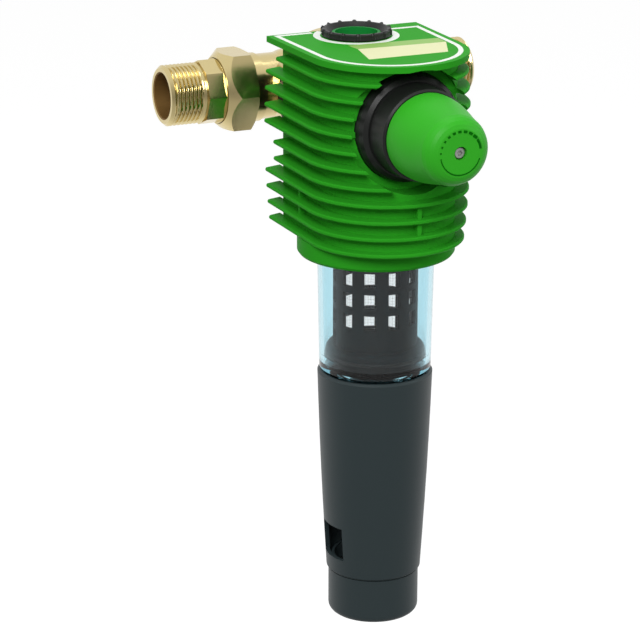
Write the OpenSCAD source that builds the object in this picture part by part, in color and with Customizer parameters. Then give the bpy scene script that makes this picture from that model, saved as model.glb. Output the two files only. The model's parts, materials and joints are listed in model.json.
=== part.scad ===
// Backwash water filter with pressure reducer, hung on a horizontal pipe.
// Origin: middle of the pipe run. X along the pipe, -Y to the front (adjusting knob), Z up.

/* [Pipe connection] */
// Length of the pipe run over both nipples
run_l = 182.4; // [176:0.2:200]
// Distance from the pipe axis to the filter axis
pipe_offset = 79; // [77:0.5:90]
// Outer diameter of the pipe thread (R1)
thread_d = 33.25; // [32:0.05:34]
// Length of the pipe thread
thread_l = 20; // [16:0.5:22]
// Bore of the pipe run
pipe_bore_d = 25; // [20:0.5:26]
// Diameter of the plain part of a nipple
nipple_d = 35.6; // [35:0.1:36]
// Diameter of the nipple's collar inside the union nut
nipple_collar_d = 37.7; // [37:0.1:38]
// Thickness of the nipple's collar
nipple_collar_t = 4; // [3:0.1:5]
// Width across flats of the union nut
nut_af = 41.6; // [41:0.1:44]
// Length of the union nut
nut_l = 17; // [15:0.5:19]
// Thickness of the union nut's lip
nut_lip_t = 4; // [3:0.1:5]
// Outer diameter of the thread under the union nut (G 1 1/8)
union_thread_d = 37.9; // [37.5:0.1:38.2]
// Distance from the middle of the run to the sealing face of the body
body_half_l = 49.9; // [48:0.1:52]
// Thickness of the union gaskets
gasket_t = 1.5; // [1:0.1:2]
// Outer diameter of the plain neck between union thread and flange
neck_d = 36; // [34:0.5:36.5]

/* [Flange] */
// Diameter of the connecting flange
flange_d = 67; // [64:0.5:70]
// Thickness of the flange on the pipe side
flange_t = 9; // [7:0.5:11]
// Thickness of the flange on the head side
head_flange_t = 8.5; // [7:0.5:8.5]
// Thickness of the flange seal
flange_seal_t = 1; // [0.8:0.1:1.5]
// Distance from the filter axis to the back of the finned shell
shell_back = 44.3; // [43:0.1:45]
// Diameter of the circle of flange screws
screw_pcd = 52; // [51:0.5:53]
// Diameter of a flange screw
screw_d = 6; // [5:0.5:7]
// Diameter of the head of a flange screw
screw_head_d = 10; // [9:0.5:11]
// Height of the head of a flange screw
screw_head_h = 6; // [4:0.5:7]
// Diameter of the two water ports in the flange
port_d = 18; // [14:0.5:19]
// Distance between the two water ports
port_pitch = 25; // [23:0.5:28]

/* [Finned shell] */
// Half the width of the widest fin
fin_w = 45.2; // [44:0.1:47]
// How much narrower the end fins are than the widest one
fin_barrel = 2.6; // [0:0.1:3]
// Forward place of the round front's centre
front_c = 11.8; // [10:0.1:14]
// Fin spacing
fin_pitch = 9.05; // [8.8:0.05:9.3]
// Number of fins under the top plate
fin_n = 11; // [10:1:11]
// Fin thickness at its root
fin_t = 3.6; // [3:0.1:4]
// Fin thickness at its tip
fin_tip_t = 2.2; // [1.6:0.1:2.8]
// Forward place of the fins' round front's centre
fin_c = 10.2; // [9:0.1:12]
// Back end of the long fins
fin_back_long = 46; // [44:0.5:48]
// Back end of the short fins
fin_back_short = 34; // [30:0.5:38]
// Half the width of the shell's wall
core_w = 36.8; // [36.5:0.1:38]
// Wall thickness of the shell
shell_wall = 2.6; // [2:0.1:2.8]
// Back end of the shell's wall
core_back = 40; // [38:0.5:42]
// Thickness of the top plate
plate_t = 3.2; // [2.6:0.1:4]
// Half the width of the top plate at its back
plate_w = 44.4; // [43.5:0.1:46]
// Diameter of the ring that closes the shell below
ring_d = 85; // [82:0.5:88]
// Height of the ring below the lowest fin
ring_h = 9.4; // [7:0.1:11]
// Diameter of the round recess for the reducer
recess_d = 67; // [65:0.5:70]
// Forward place of the recess floor
recess_floor = 35.2; // [34:0.1:36]
// Width of the small upright ribs between the lower fins
rib_w = 2.4; // [1.6:0.1:3.5]

/* [Reminder ring] */
// Outer diameter of the turning ring
dial_d = 40.4; // [38:0.2:43]
// Height of the turning ring
dial_h = 4.2; // [3.6:0.1:6]
// Diameter of the lip that the ring turns on
dial_lip_d = 26; // [24:0.2:28]
// Depth of the well inside the ring
well_depth = 3.2; // [2:0.1:3.4]
// Distance from the filter axis back to the ring's centre
dial_back = 26.3; // [22:0.1:27]
// Number of nubs on the ring
nub_n = 16; // [12:1:20]

/* [Head] */
// Outer diameter of the head inside the shell
head_d = 66.6; // [65:0.1:67]
// Distance from the pipe axis up to the top plate's underside
pipe_below_plate = 32.65; // [32:0.05:36]
// Diameter of the bowl socket in the head
socket_d = 60.6; // [60:0.1:61.5]
// Depth of the bowl socket
socket_depth = 23; // [20:0.5:25]
// Diameter of the front boss that carries the reducer
boss_d = 52.8; // [51:0.1:53.2]

/* [Pressure reducer] */
// Outer diameter of the clamp ring
clamp_d = 58; // [57:0.1:60]
// Length of the clamp ring in front of the recess floor
clamp_l = 8.4; // [6:0.1:10]
// Diameter of the bonnet at its front end
bonnet_d = 48.6; // [46:0.1:49.2]
// Length of the bonnet in front of the clamp ring
bonnet_l = 14.6; // [12:0.1:18]
// Diameter of the bonnet's neck inside the knob
bonnet_neck_d = 33; // [31:0.5:34]
// Length of the bonnet's neck
bonnet_neck_l = 22; // [20:0.5:24]
// Wall of the bonnet's neck
bonnet_wall = 3; // [2.5:0.1:3.5]
// Diameter of the knob at its base
knob_base_d = 45.6; // [44:0.1:48]
// Diameter of the knob's flat end
knob_end_d = 21; // [18:0.5:26]
// Length of the knob
knob_l = 38; // [36:0.5:42]
// How much the knob swells in front of its base
knob_swell = 1.4; // [0:0.1:2]
// Diameter of the adjusting spindle
spindle_d = 10; // [9:0.5:11]
// Thread pitch of the adjusting spindle
spindle_pitch = 1.5; // [1:0.1:2]
// Wire diameter of the reducer spring
spring_wire = 3; // [2:0.1:3.4]
// Turns of the reducer spring
spring_turns = 5.5; // [4:0.5:6]
// Thickness of the diaphragm
diaphragm_t = 1.2; // [1:0.1:1.5]
// Diameter of the valve stem
stem_d = 6; // [5:0.5:7]
// Travel of the reducer valve
valve_travel = 2; // [1:0.1:2.2]

/* [Bowl and strainer] */
// Height of the bowl that shows between grip and shell
bowl_h = 66.1; // [60:0.1:75]
// Outer diameter of the bowl under the shell
bowl_top_d = 63.4; // [62.6:0.1:64.6]
// Outer diameter of the bowl at its foot
bowl_foot_d = 60.9; // [60:0.1:62]
// Wall of the bowl
bowl_wall = 2.6; // [2.2:0.1:2.8]
// Thickness of the bowl's floor
bowl_floor = 3.2; // [2.6:0.1:4]
// Outer diameter of the strainer cage
cage_d = 46; // [44:0.1:47]
// Wall of the strainer cage
cage_wall = 2; // [1.6:0.1:2.4]
// Width of a cage window
window_w = 6.4; // [5:0.1:7.5]
// Height of a cage window
window_h = 8.2; // [6:0.1:9]
// Spacing of the rows of cage windows
window_pitch = 11.8; // [10.5:0.1:12.4]
// Diameter of the strainer's foot
foot_d = 54.4; // [53:0.1:54.6]

/* [Grip and drain] */
// Height of the grip
grip_h = 116.5; // [110:0.5:130]
// Diameter of the grip at its top
grip_top_d = 62.8; // [61:0.1:65]
// Diameter of the grip at its lower end
grip_low_d = 52.2; // [51.6:0.1:54]
// How far the grip's side swells out from a straight taper
grip_swell = 0.5; // [0:0.1:1]
// Wall of the grip
grip_wall = 2.4; // [2:0.1:2.6]
// Height of the air gap windows
air_h = 19; // [14:0.5:22]
// Width of the air gap windows
air_w = 23.6; // [16:0.2:26]
// Height of the air gap windows above the grip's lower end
air_z = 10; // [9:0.5:16]
// Diameter of the drain tube below its shoulder
tube_d = 24; // [22:0.5:25]
// Wall of the drain tube
tube_wall = 3; // [2.5:0.1:3.5]
// Outer diameter of the cam sleeve
sleeve_d = 31; // [30:0.5:33]
// Height of the cam sleeve
sleeve_h = 25; // [24:0.5:30]
// Height of the cam sleeve's top above the grip's lower end
sleeve_above_grip = 86.4; // [80:0.2:90]
// Height of the water ports above the cam sleeve
port_above_sleeve = 10; // [8:0.5:12]
// Diameter of the water ports in the drain tube
tube_port_d = 9; // [7:0.5:10]
// Radial width of the tube's clips outside the tube
clip_w = 2.5; // [2:0.1:3]
// Width of the tube nut's wall
tube_nut_w = 7; // [5:0.5:8]
// Thickness of the piston's plug at its rim
plug_rim_t = 3; // [2:0.1:4]
// Height of the cone on the piston's plug
plug_cone_h = 2; // [1:0.1:3]
// Length of the piston's rod below the drive pin
rod_below_pin = 4; // [3:0.1:5]
// Turn of the grip from closed to open
grip_turn = 120; // [90:5:120]
// Lift of the drain piston over that turn
piston_lift = 6; // [4:0.5:6]
// Diameter of the drive pin
pin_d = 4; // [3:0.5:4.5]
// Outer diameter of the drain spigot (DN50)
spigot_d = 50; // [49:0.1:50.4]
// Length of the drain spigot
spigot_h = 25.6; // [22:0.1:30]
// Wall of the drain spigot
spigot_wall = 2.2; // [1.8:0.1:2.6]
// Rounding of the spigot's lower edge
spigot_round = 4; // [2:0.1:5]

/* [Hidden] */
// Clearances: pieces that stay together, a shaft that turns, and faces that move past each other
fit = 0.1;
run = 0.05;
gap = 0.3;
over = 0.5;
fine = 96;
rough = 32;

// Heights above the lower end of the drain spigot, on the filter axis
z_grip = spigot_h + gap;
z_bowl = z_grip + grip_h + 1.5 * gap;
z_shell = z_bowl + bowl_h;
z_fin = z_shell + ring_h;
z_plate = z_fin + fin_n * fin_pitch;
z_pipe = z_plate - pipe_below_plate;
z_top = z_plate + plate_t;
z_head = z_shell + 6;
z_socket = z_head + socket_depth;
z_floor = z_bowl + bowl_floor;
ring_lip_t = 2.4;
z_bowl_flange = z_shell + ring_lip_t;
bowl_seal_t = 0.8;
lip_root = 1;

// Flange planes, as distances behind the filter axis
y_head_flange = shell_back + 0.2;
y_seal = y_head_flange + head_flange_t;
y_flange = y_seal + flange_seal_t;

// Reducer planes, as distances in front of the filter axis
f_boss = recess_floor;
f_diaphragm = f_boss + diaphragm_t;
f_plate = f_diaphragm + fit;
f_plate_end = f_plate + 2.4;
f_clamp = recess_floor + clamp_l;
f_clamp_back = f_boss - 6;
f_bonnet = f_clamp + bonnet_l;
f_neck = f_bonnet + bonnet_neck_l;
f_knob = f_bonnet + gap;
f_knob_end = f_knob + knob_l;
f_seat = 13;
seat_d = 24;
seat_l = 5;
seat_bore_d = 13;
bonnet_bore = bonnet_neck_d / 2 - bonnet_wall;
bonnet_end_t = 4;
bonnet_flange_d = boss_d - 0.4;
spindle_collar_t = 1.7;
f_collar = f_neck - bonnet_end_t - spindle_collar_t - gap;
carrier_t = 4;
carrier_travel = spindle_pitch * 1.5;
f_carrier = f_collar - carrier_travel - 2.4 - carrier_t;
ear_w = 4;
knob_bore = bonnet_neck_d / 2 + 0.7;
hub_start = f_neck + 2 * gap;
screw_recess_d = 7;
screw_recess_l = 4;

// Drain mechanism heights
z_tube_flange = z_floor + 0.6;
tube_flange_t = 2;
z_seat = z_tube_flange + tube_flange_t;
tube_flange_d = 34;
shoulder_d = tube_d + 3;
z_sleeve_top = z_grip + sleeve_above_grip;
z_sleeve = z_sleeve_top - sleeve_h;
z_pin = z_sleeve + 12;
clip_t = 1.8;
clip_groove = 1;
hub_h = 10;
z_hub = 14;
z_tube = z_hub - 2 * clip_t - fit;
tube_plug_t = 4;
z_plug = z_sleeve - 8;
spigot_neck_h = 8;
stem_rod_d = 7;
plug_d = 22;
pad_t = 1.6;

// Foot of the strainer
foot_h = 5.8;
z_foot = z_floor + 6;
z_cage = z_foot + foot_h;
cage_flange_t = 2.5;
z_cage_top = z_socket - 1;
seal_section = 0.8;
// Inner radius of the bowl's wall at a height
function bowl_inner(z) = bowl_foot_d / 2 - bowl_wall
    + (bowl_top_d - bowl_foot_d) / 2 * (z - z_floor - 2) / (z_bowl_flange - 3 - z_floor - 2);
row_n = 5;
column_n = 11;
column_turn = 8;
window_land = 12.6;

// Frames: the filter's own frame, the knob axis towards the front, and the pipe axis
module filter_frame() { translate([0, -pipe_offset, -z_pipe]) children(); }
module knob_axis() { filter_frame() translate([0, 0, z_pipe]) rotate([90, 0, 0]) children(); }
module pipe_axis() { rotate([0, 90, 0]) children(); }
module turned(outline) { rotate_extrude($fn = fine) polygon(outline); }
module tube(d, bore, z0, z1) {
    turned([[bore / 2, z0], [d / 2, z0], [d / 2, z1], [bore / 2, z1]]);
}
module disc(d, z0, z1) { translate([0, 0, z0]) cylinder(d = d, h = z1 - z0, $fn = fine); }

// Pipe connection
module union_side() {
    tip = run_l / 2;
    chamfer = 1.5;
    collar_x = body_half_l + gasket_t;
    shank_x = tip - thread_l;
    turned([[pipe_bore_d / 2, collar_x], [nipple_collar_d / 2, collar_x],
            [nipple_collar_d / 2, collar_x + nipple_collar_t], [nipple_d / 2, collar_x + nipple_collar_t],
            [nipple_d / 2, shank_x - 1], [thread_d / 2, shank_x], [thread_d / 2, tip - chamfer],
            [thread_d / 2 - chamfer, tip], [pipe_bore_d / 2 + chamfer, tip],
                [pipe_bore_d / 2, tip - 2 * chamfer]]);
}
module nipple() {
    flats_x = body_half_l + gasket_t + nipple_collar_t + nut_lip_t + 2 * gap;
    flats_af = nipple_d - 1.4;
    color("goldenrod") difference() {
        pipe_axis() union_side();
        for (turn = [0 : 45 : 315]) pipe_axis() rotate([0, 0, turn])
            translate([flats_af / 2, -thread_d, flats_x])
            cube([thread_d, 2 * thread_d, run_l / 2 - thread_l - 1 - flats_x]);
    }
}
module inlet_nipple() { mirror([1, 0, 0]) nipple(); }
module outlet_nipple() { nipple(); }

module union_nut() {
    lip_x = body_half_l + gasket_t + nipple_collar_t + gap;
    end_x = lip_x + nut_lip_t;
    start_x = end_x - nut_l;
    corner_r = nut_af / 2 / cos(30);
    face_r = nipple_d / 2 + gap + 0.6;
    chamfer_l = 6.2;
    back_r = nut_af / 2 + 0.8;
    nut_turn = 30;
    color("goldenrod") pipe_axis() difference() {
        intersection() {
            translate([0, 0, start_x]) rotate([0, 0, nut_turn]) cylinder(r = corner_r, h = nut_l, $fn = 6);
            turned([[0, start_x], [back_r, start_x], [corner_r + over, start_x + 1.6],
                    [corner_r + over, end_x - chamfer_l], [face_r, end_x], [0, end_x]]);
        }
        disc(union_thread_d + 0.5, start_x - over, lip_x);
        disc(nipple_d + 2 * gap, lip_x - over, end_x + over);
    }
}
module inlet_union_nut() { mirror([1, 0, 0]) union_nut(); }
module outlet_union_nut() { union_nut(); }

module gasket() {
    color("dimgray") pipe_axis() tube(nipple_collar_d, pipe_bore_d + 1, body_half_l,
        body_half_l + gasket_t);
}
module inlet_gasket() { mirror([1, 0, 0]) gasket(); }
module outlet_gasket() { gasket(); }

function screw_places() = [for (side = [-1, 1], up = [-1, 1])
    [side * screw_pcd / 4, up * screw_pcd / 2 * sin(60)]];
module ports(y0, y1) {
    for (side = [-1, 1]) translate([side * port_pitch / 2, y1, 0]) rotate([90, 0, 0])
        cylinder(d = port_d, h = y1 - y0, $fn = fine);
}
module screw_holes(y0, y1, d) {
    for (place = screw_places()) translate([place[0], y1, place[1]]) rotate([90, 0, 0])
        cylinder(d = d, h = y1 - y0, $fn = rough);
}

module connection_body() {
    thread_x = body_half_l - 13;
    face_y = y_flange - pipe_offset;
    web = 5;
    color("darkgoldenrod") difference() {
        union() {
            pipe_axis() turned([[0, -body_half_l], [union_thread_d / 2 - 1, -body_half_l],
                [union_thread_d / 2, 1 - body_half_l], [union_thread_d / 2, -thread_x],
                    [neck_d / 2, -thread_x],
                [neck_d / 2, -24], [neck_d / 2 + 1.2, -20], [neck_d / 2 + 1.2, 20], [neck_d / 2, 24],
                [neck_d / 2, thread_x], [union_thread_d / 2, thread_x],
                    [union_thread_d / 2, body_half_l - 1],
                [union_thread_d / 2 - 1, body_half_l], [0, body_half_l]]);
            rotate([90, 0, 0]) turned([[0, 0], [neck_d / 2 + 1, 0],
                [neck_d / 2 + 1, -face_y - flange_t - 1],
                [neck_d / 2 + 2, -face_y - flange_t], [flange_d / 2, -face_y - flange_t],
                [flange_d / 2, -face_y], [0, -face_y]]);
        }
        for (side = [-1, 1]) pipe_axis() translate([0, 0, side * (body_half_l + web) / 2])
            cylinder(d = pipe_bore_d, h = body_half_l - web + 2 * over, center = true, $fn = fine);
        ports(face_y - over, 0);
        screw_holes(face_y - over, face_y + flange_t + over, screw_d + 2 * fit);
    }
}
module flange_seal() {
    color("dimgray") translate([0, y_seal - pipe_offset, 0]) difference() {
        rotate([-90, 0, 0]) cylinder(d = 2 * (screw_pcd / 2 - screw_d), h = flange_seal_t, $fn = fine);
        ports(-over, flange_seal_t + over);
    }
}
module flange_screws() {
    head_y = y_flange + flange_t - pipe_offset;
    shank_l = flange_t + flange_seal_t + head_flange_t - 2;
    for (place = screw_places()) color("silver") translate([place[0], head_y, place[1]]) rotate([-90, 0, 0])
        difference() {
            turned([[0, -shank_l], [screw_d / 2, -shank_l], [screw_d / 2, 0], [screw_head_d / 2, 0],
                    [screw_head_d / 2, screw_head_h - 0.6], [screw_head_d / 2 - 0.6, screw_head_h],
                    [0, screw_head_h]]);
            translate([0, 0, screw_head_h / 2]) cylinder(d = screw_d, h = screw_head_h, $fn = 6);
        }
}

// Head inside the shell
module head_body() {
    z_dome = z_plate - lip_root - gap;
    inlet_y = port_pitch / 2;
    inlet_d = cage_d - 2 * cage_wall - 1;
    ring_r = cage_d / 2 + 3.2;
    riser = [ring_r - 1, -7.5];
    way_d = 7;
    way_back = 18;
    high = 16;
    color([0.16, 0.17, 0.18]) difference() {
        union() {
            filter_frame() disc(head_d, z_head, z_dome);
            filter_frame() translate([0, 0, z_pipe]) rotate([-90, 0, 0]) turned([[0, 0],
                [head_d / 2 - 4, 0],
                [head_d / 2 - 4, y_head_flange], [flange_d / 2, y_head_flange], [flange_d / 2, y_seal],
                [0, y_seal]]);
            knob_axis() disc(boss_d, 0, f_boss);
        }
        filter_frame() disc(socket_d, z_head - over, z_socket);
        // inlet port down into the strainer
        translate([0, -pipe_offset, 0]) ports(inlet_y, y_seal + over);
        filter_frame() translate([-port_pitch / 2, inlet_y, 0]) disc(port_d, z_socket + 10, z_pipe);
        filter_frame() disc(inlet_d, z_socket - over, z_socket + 18);
        // clean water: ring channel, riser and cross way to the back of the valve seat
        filter_frame() tube(2 * ring_r + 5, 2 * ring_r - 4, z_socket - over, z_socket + 8);
        filter_frame() translate(riser) disc(way_d, z_socket + 7, z_pipe);
        filter_frame() translate([0, riser[1], z_pipe]) rotate([0, 90, 0]) disc(way_d, 0, riser[0]);
        knob_axis() disc(seat_d + 2 * fit, 2, f_boss);
        // reduced water: diaphragm chamber, and over the valve to the outlet port
        knob_axis() disc(boss_d - 9, f_seat + seat_l + 2, f_boss + over);
        filter_frame() translate([port_pitch / 2, way_back, z_pipe + high]) rotate([90, 0, 0])
            disc(way_d, 0, way_back + f_boss - 6);
        filter_frame() translate([port_pitch / 2, way_back, 0])
            disc(way_d, z_pipe, z_pipe + high + way_d / 2);
        translate([0, -pipe_offset, 0]) screw_holes(y_head_flange + 2, y_seal + over, screw_d + 2 * fit);
        // room for the clamp ring round the boss
        knob_axis() tube(clamp_d + 0.8, boss_d, f_clamp_back - fit, f_boss + over);
    }
}

// Finned shell: the plan of one level is a round front with straight sides
module plan(front_w, back_w, back) {
    translate([0, -front_c]) circle(r = front_w, $fn = fine);
    polygon([[-front_w, -front_c], [front_w, -front_c], [back_w, back], [-back_w, back]]);
}
function fin_half(k) = let(t = (k - fin_n / 2) / (fin_n / 2)) fin_w - fin_barrel * t * t;
function fin_back(k) = (k == 1 || k == 6 || k == 7) ? fin_back_short : fin_back_long;
module fin_profile(w) {
    root = fin_t / 2;
    tip = fin_tip_t / 2;
    edge = 0.6;
    inner = core_w - 0.7;
    polygon([[inner, -root], [w - edge, -tip], [w, edge - tip], [w, tip - edge], [w - edge, tip],
             [inner, root]]);
}
module fin(k) {
    w = fin_half(k);
    translate([0, -fin_c, z_plate - k * fin_pitch + fin_t / 2]) {
        rotate([0, 0, 180]) rotate_extrude(angle = 180, $fn = fine) fin_profile(w);
        for (side = [0, 1]) mirror([side, 0, 0]) rotate([90, 0, 180]) translate([0, 0, -over])
            mirror([1, 0, 0]) linear_extrude(fin_back(k) + fin_c + over) fin_profile(w);
    }
}
module core() {
    translate([0, 0, z_fin - 1]) linear_extrude(z_plate - z_fin + 2) plan(core_w, core_w, core_back);
}
module finned_shell() {
    rib_back = 10;
    rib_l = 4.4;
    z_rib = z_fin + fin_pitch;
    rib_h = 2 * fin_pitch;
    inner_w = core_w - shell_wall;
    well_d = dial_lip_d - 3;
    recess_wall = 1.8;
    floor_back = max(recess_floor - shell_wall, head_d / 2 + gap);
    lip_r = bowl_top_d / 2 + 1.5;
    well_z = z_top - well_depth;
    color([0.24, 0.67, 0.18]) filter_frame() difference() {
        union() {
            difference() {
                core();
                translate([0, 0, z_shell - over]) linear_extrude(z_plate - z_shell + over)
                    plan(inner_w, inner_w, core_back + over);
                translate([0, 0, z_pipe]) rotate([90, 0, 0])
                    disc(recess_d, recess_floor, 2 * core_w + front_c);
            }
            // recess: floor with the opening for the clamp ring, and side wall
            intersection() {
                core();
                translate([0, 0, z_pipe]) rotate([90, 0, 0]) {
                    tube(recess_d + 2 * recess_wall, clamp_d + 0.8, floor_back, recess_floor);
                    tube(recess_d + 2 * recess_wall, recess_d, floor_back, 2 * core_w + front_c);
                }
            }
            difference() {
                for (k = [1 : fin_n]) fin(k);
                translate([0, 0, z_pipe]) rotate([90, 0, 0])
                    disc(recess_d, recess_floor, 2 * core_w + front_c);
            }
            // top plate with the lip and the well of the reminder ring
            difference() {
                union() {
                    translate([0, 0, z_plate]) linear_extrude(plate_t)
                        plan(plate_w - 1.4, plate_w, shell_back);
                    translate([0, dial_back, 0]) disc(dial_lip_d, z_plate - lip_root, z_top + 2);
                }
                translate([0, dial_back, 0]) disc(well_d, well_z, z_top + 3);
            }
            // lower ring, with the lip that carries the bowl's flange
            turned([[lip_r, z_shell + 1], [lip_r + 1, z_shell], [ring_d / 2 - 1, z_shell],
                    [ring_d / 2, z_shell + 1.4],
                    [ring_d / 2, z_fin + 0.6], [inner_w, z_fin + 0.6], [inner_w, z_fin - 1.4],
                    [ring_d / 2 - 3, z_fin - 1.4], [ring_d / 2 - 3, z_bowl_flange],
                        [lip_r, z_bowl_flange]]);
            // ribs between the lower fins, one at the front and one on each side
            translate([-rib_w / 2, -front_c - core_w - rib_l + 1, z_rib]) cube([rib_w, rib_l, rib_h]);
            for (side = [0, 1]) mirror([side, 0, 0]) translate([core_w - 1, rib_back, z_rib])
                cube([rib_l, rib_w, rib_h]);
        }
        translate([0, 0, z_pipe]) rotate([90, 0, 0])
            disc(recess_d, core_w + front_c - 2, 2 * core_w + front_c);
        // room for the clamp ring through the front wall
        translate([0, 0, z_pipe]) rotate([90, 0, 0])
            disc(clamp_d + 0.8, f_clamp_back - 1, recess_floor + over);
    }
}

// Reminder ring on the top plate
module reminder_ring() {
    r_in = dial_lip_d / 2 + run;
    r_out = dial_d / 2;
    z0 = z_top + gap / 2;
    crown = 2.6;
    color([0.1, 0.1, 0.1]) filter_frame() translate([0, dial_back, z0]) {
        turned(concat([[r_in, 0], [r_out - 0.6, 0], [r_out, 0.6], [r_out, dial_h - crown]],
            [for (a = [15 : 15 : 90]) [r_out - crown + crown * cos(a), dial_h - crown + crown * sin(a)]],
            [for (a = [0 : 15 : 75]) [r_in + crown - crown * sin(a), dial_h - crown + crown * cos(a)]],
            [[r_in, dial_h - crown - 1]]));
        for (k = [0 : nub_n - 1]) rotate([0, 0, k * 360 / nub_n])
            translate([r_out - 0.6, 0, dial_h - crown - 1.6]) cylinder(d = 2.4, h = 3, $fn = rough);
    }
}

// Pressure reducer on the knob axis
module clamp_ring() {
    lip_f = f_clamp - 3;
    color([0.1, 0.1, 0.1]) knob_axis() turned([[boss_d / 2 + fit, f_clamp_back],
        [clamp_d / 2, f_clamp_back],
        [clamp_d / 2, f_clamp - 5], [clamp_d / 2 - 1, f_clamp - 1.8], [clamp_d / 2 - 3, f_clamp],
        [bonnet_d / 2 + 0.8 + fit, f_clamp],
        [bonnet_d / 2 + 0.8 + fit, lip_f], [boss_d / 2 + fit, lip_f]]);
}
module spring_bonnet() {
    neck_r = bonnet_neck_d / 2;
    flange_f = f_clamp - 3 - fit;
    slot = ear_w + 2 * gap;
    color([0.14, 0.14, 0.15]) knob_axis() difference() {
        turned([[0, f_diaphragm + fit], [bonnet_flange_d / 2, f_diaphragm + fit],
            [bonnet_flange_d / 2, flange_f],
                [bonnet_d / 2 + 0.8, flange_f], [bonnet_d / 2 + 0.8, f_clamp], [bonnet_d / 2, f_bonnet - 1],
                [bonnet_d / 2 - 1, f_bonnet], [neck_r, f_bonnet], [neck_r, f_neck - 1],
                    [neck_r - 1, f_neck],
                [0, f_neck]]);
        disc(2 * bonnet_bore, f_diaphragm - over, f_neck - bonnet_end_t);
        disc(2 * (boss_d / 2 - 8), f_diaphragm - over, f_plate_end + 1);
        disc(spindle_d + 2 * run, f_bonnet, f_neck + over);
        for (side = [0, 180]) rotate([0, 0, side]) translate([0, -slot / 2, f_plate_end])
            cube([bonnet_bore + 1.6, slot, f_collar - f_plate_end]);
    }
}
module diaphragm() {
    color([0.12, 0.12, 0.12]) knob_axis() tube(bonnet_flange_d - 1, stem_d + 0.4, f_boss, f_diaphragm);
}
module diaphragm_plate() {
    color("silver") knob_axis() turned([[stem_d / 2 + run, f_plate], [bonnet_bore - 1, f_plate],
        [bonnet_bore - 1, f_plate_end - 0.6], [bonnet_bore - 1.6, f_plate_end],
            [stem_d / 2 + run, f_plate_end]]);
}
module valve_stem() {
    pad_f = f_seat - valve_travel - fit;
    color("silver") knob_axis() turned([[0, pad_f - 5], [seat_bore_d / 2 + 3, pad_f - 5],
        [seat_bore_d / 2 + 3, pad_f - pad_t], [stem_d / 2, pad_f - pad_t], [stem_d / 2, f_plate_end + 2],
        [stem_d / 2 - 0.6, f_plate_end + 2.6], [0, f_plate_end + 2.6]]);
}
module valve_pad() {
    pad_f = f_seat - valve_travel - fit;
    color([0.12, 0.12, 0.12]) knob_axis() tube(seat_bore_d + 5, stem_d + 2 * run, pad_f - pad_t, pad_f);
}
module valve_seat() {
    color("goldenrod") knob_axis() difference() {
        turned([[seat_bore_d / 2, f_seat + 0.6], [seat_bore_d / 2 + 1, f_seat], [seat_d / 2, f_seat],
                [seat_d / 2, f_seat + seat_l], [stem_d / 2 + run, f_seat + seat_l],
                    [stem_d / 2 + run, f_seat + 3],
                [seat_bore_d / 2, f_seat + 3]]);
        for (turn = [0 : 60 : 300]) rotate([0, 0, turn]) translate([seat_bore_d / 2 - 1.2, 0, f_seat + 2])
            cylinder(d = 3, h = seat_l, $fn = rough);
    }
}

// Helical spring: rings of points swept along a coil
module coil(mean_r, wire, length, turns, steps) {
    sides = 8;
    rings = turns * steps;
    pts = [for (i = [0 : rings], j = [0 : sides - 1])
        let(a = i * 360 / steps, b = j * 360 / sides, r = mean_r + wire / 2 * cos(b))
        [r * cos(a), r * sin(a), wire / 2 + (length - wire) * i / rings + wire / 2 * sin(b)]];
    side_faces = [for (i = [0 : rings - 1], j = [0 : sides - 1]) let(k = (j + 1) % sides)
        [i * sides + j, (i + 1) * sides + j, (i + 1) * sides + k, i * sides + k]];
    polyhedron(pts, concat(side_faces, [[for (j = [0 : sides - 1]) j]],
        [[for (j = [0 : sides - 1]) rings * sides + sides - 1 - j]]));
}
module reducer_spring() {
    length = f_carrier - f_plate_end - 2 * fit;
    color("silver") knob_axis() translate([0, 0, f_plate_end + fit])
        coil(bonnet_bore - 1 - spring_wire / 2, spring_wire, length, spring_turns, 20);
}
module spring_carrier() {
    reach = bonnet_bore + 1.2;
    color("lightgray") knob_axis() difference() {
        union() {
            disc(2 * (bonnet_bore - gap), f_carrier, f_carrier + carrier_t);
            translate([-reach, -ear_w / 2, f_carrier]) cube([2 * reach, ear_w, carrier_t]);
        }
        disc(spindle_d - 2 + 2 * run, f_carrier - over, f_carrier + carrier_t + over);
    }
}
module adjusting_spindle() {
    thread_r = spindle_d / 2 - 1;
    hub_r = spindle_d / 2 - 1.1;
    collar_r = spindle_d / 2 + 3;
    end_f = f_knob_end - screw_recess_l - 3;
    color("goldenrod") knob_axis() difference() {
        turned([[0, f_carrier - 5], [thread_r, f_carrier - 5], [thread_r, f_collar], [collar_r, f_collar],
                [collar_r, f_collar + spindle_collar_t], [spindle_d / 2, f_collar + spindle_collar_t],
                [spindle_d / 2, f_neck + gap], [hub_r, f_neck + gap], [hub_r, end_f], [0, end_f]]);
        disc(4 + 2 * fit, end_f - 10, end_f + over);
    }
}
module adjusting_knob() {
    base_r = knob_base_d / 2;
    end_r = knob_end_d / 2;
    shoulder = 9;
    steps = 8;
    side_l = knob_l - shoulder;
    // the side leans in on a gentle curve, then a round shoulder runs into the flat end
    side_end_r = base_r - 4.1;
    side = [for (i = [0 : steps]) let(t = i / steps)
        [base_r + (side_end_r - base_r) * pow(t, 1.15) + knob_swell * sin(180 * t) * (1 - t),
            f_knob + side_l * t]];
    round = [for (a = [15 : 15 : 75])
        [end_r + (side_end_r - end_r) * cos(a), f_knob + side_l + shoulder * sin(a)]];
    color([0.26, 0.68, 0.2]) knob_axis() difference() {
        turned(concat([[0, f_knob]], side, round, [[end_r, f_knob_end], [0, f_knob_end]]));
        disc(2 * knob_bore, f_knob - over, hub_start);
        disc(spindle_d - 2, f_knob, f_knob_end - screw_recess_l - 2);
        disc(4 + 4 * fit, f_knob, f_knob_end);
        disc(screw_recess_d, f_knob_end - screw_recess_l, f_knob_end + over);
    }
}
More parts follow.
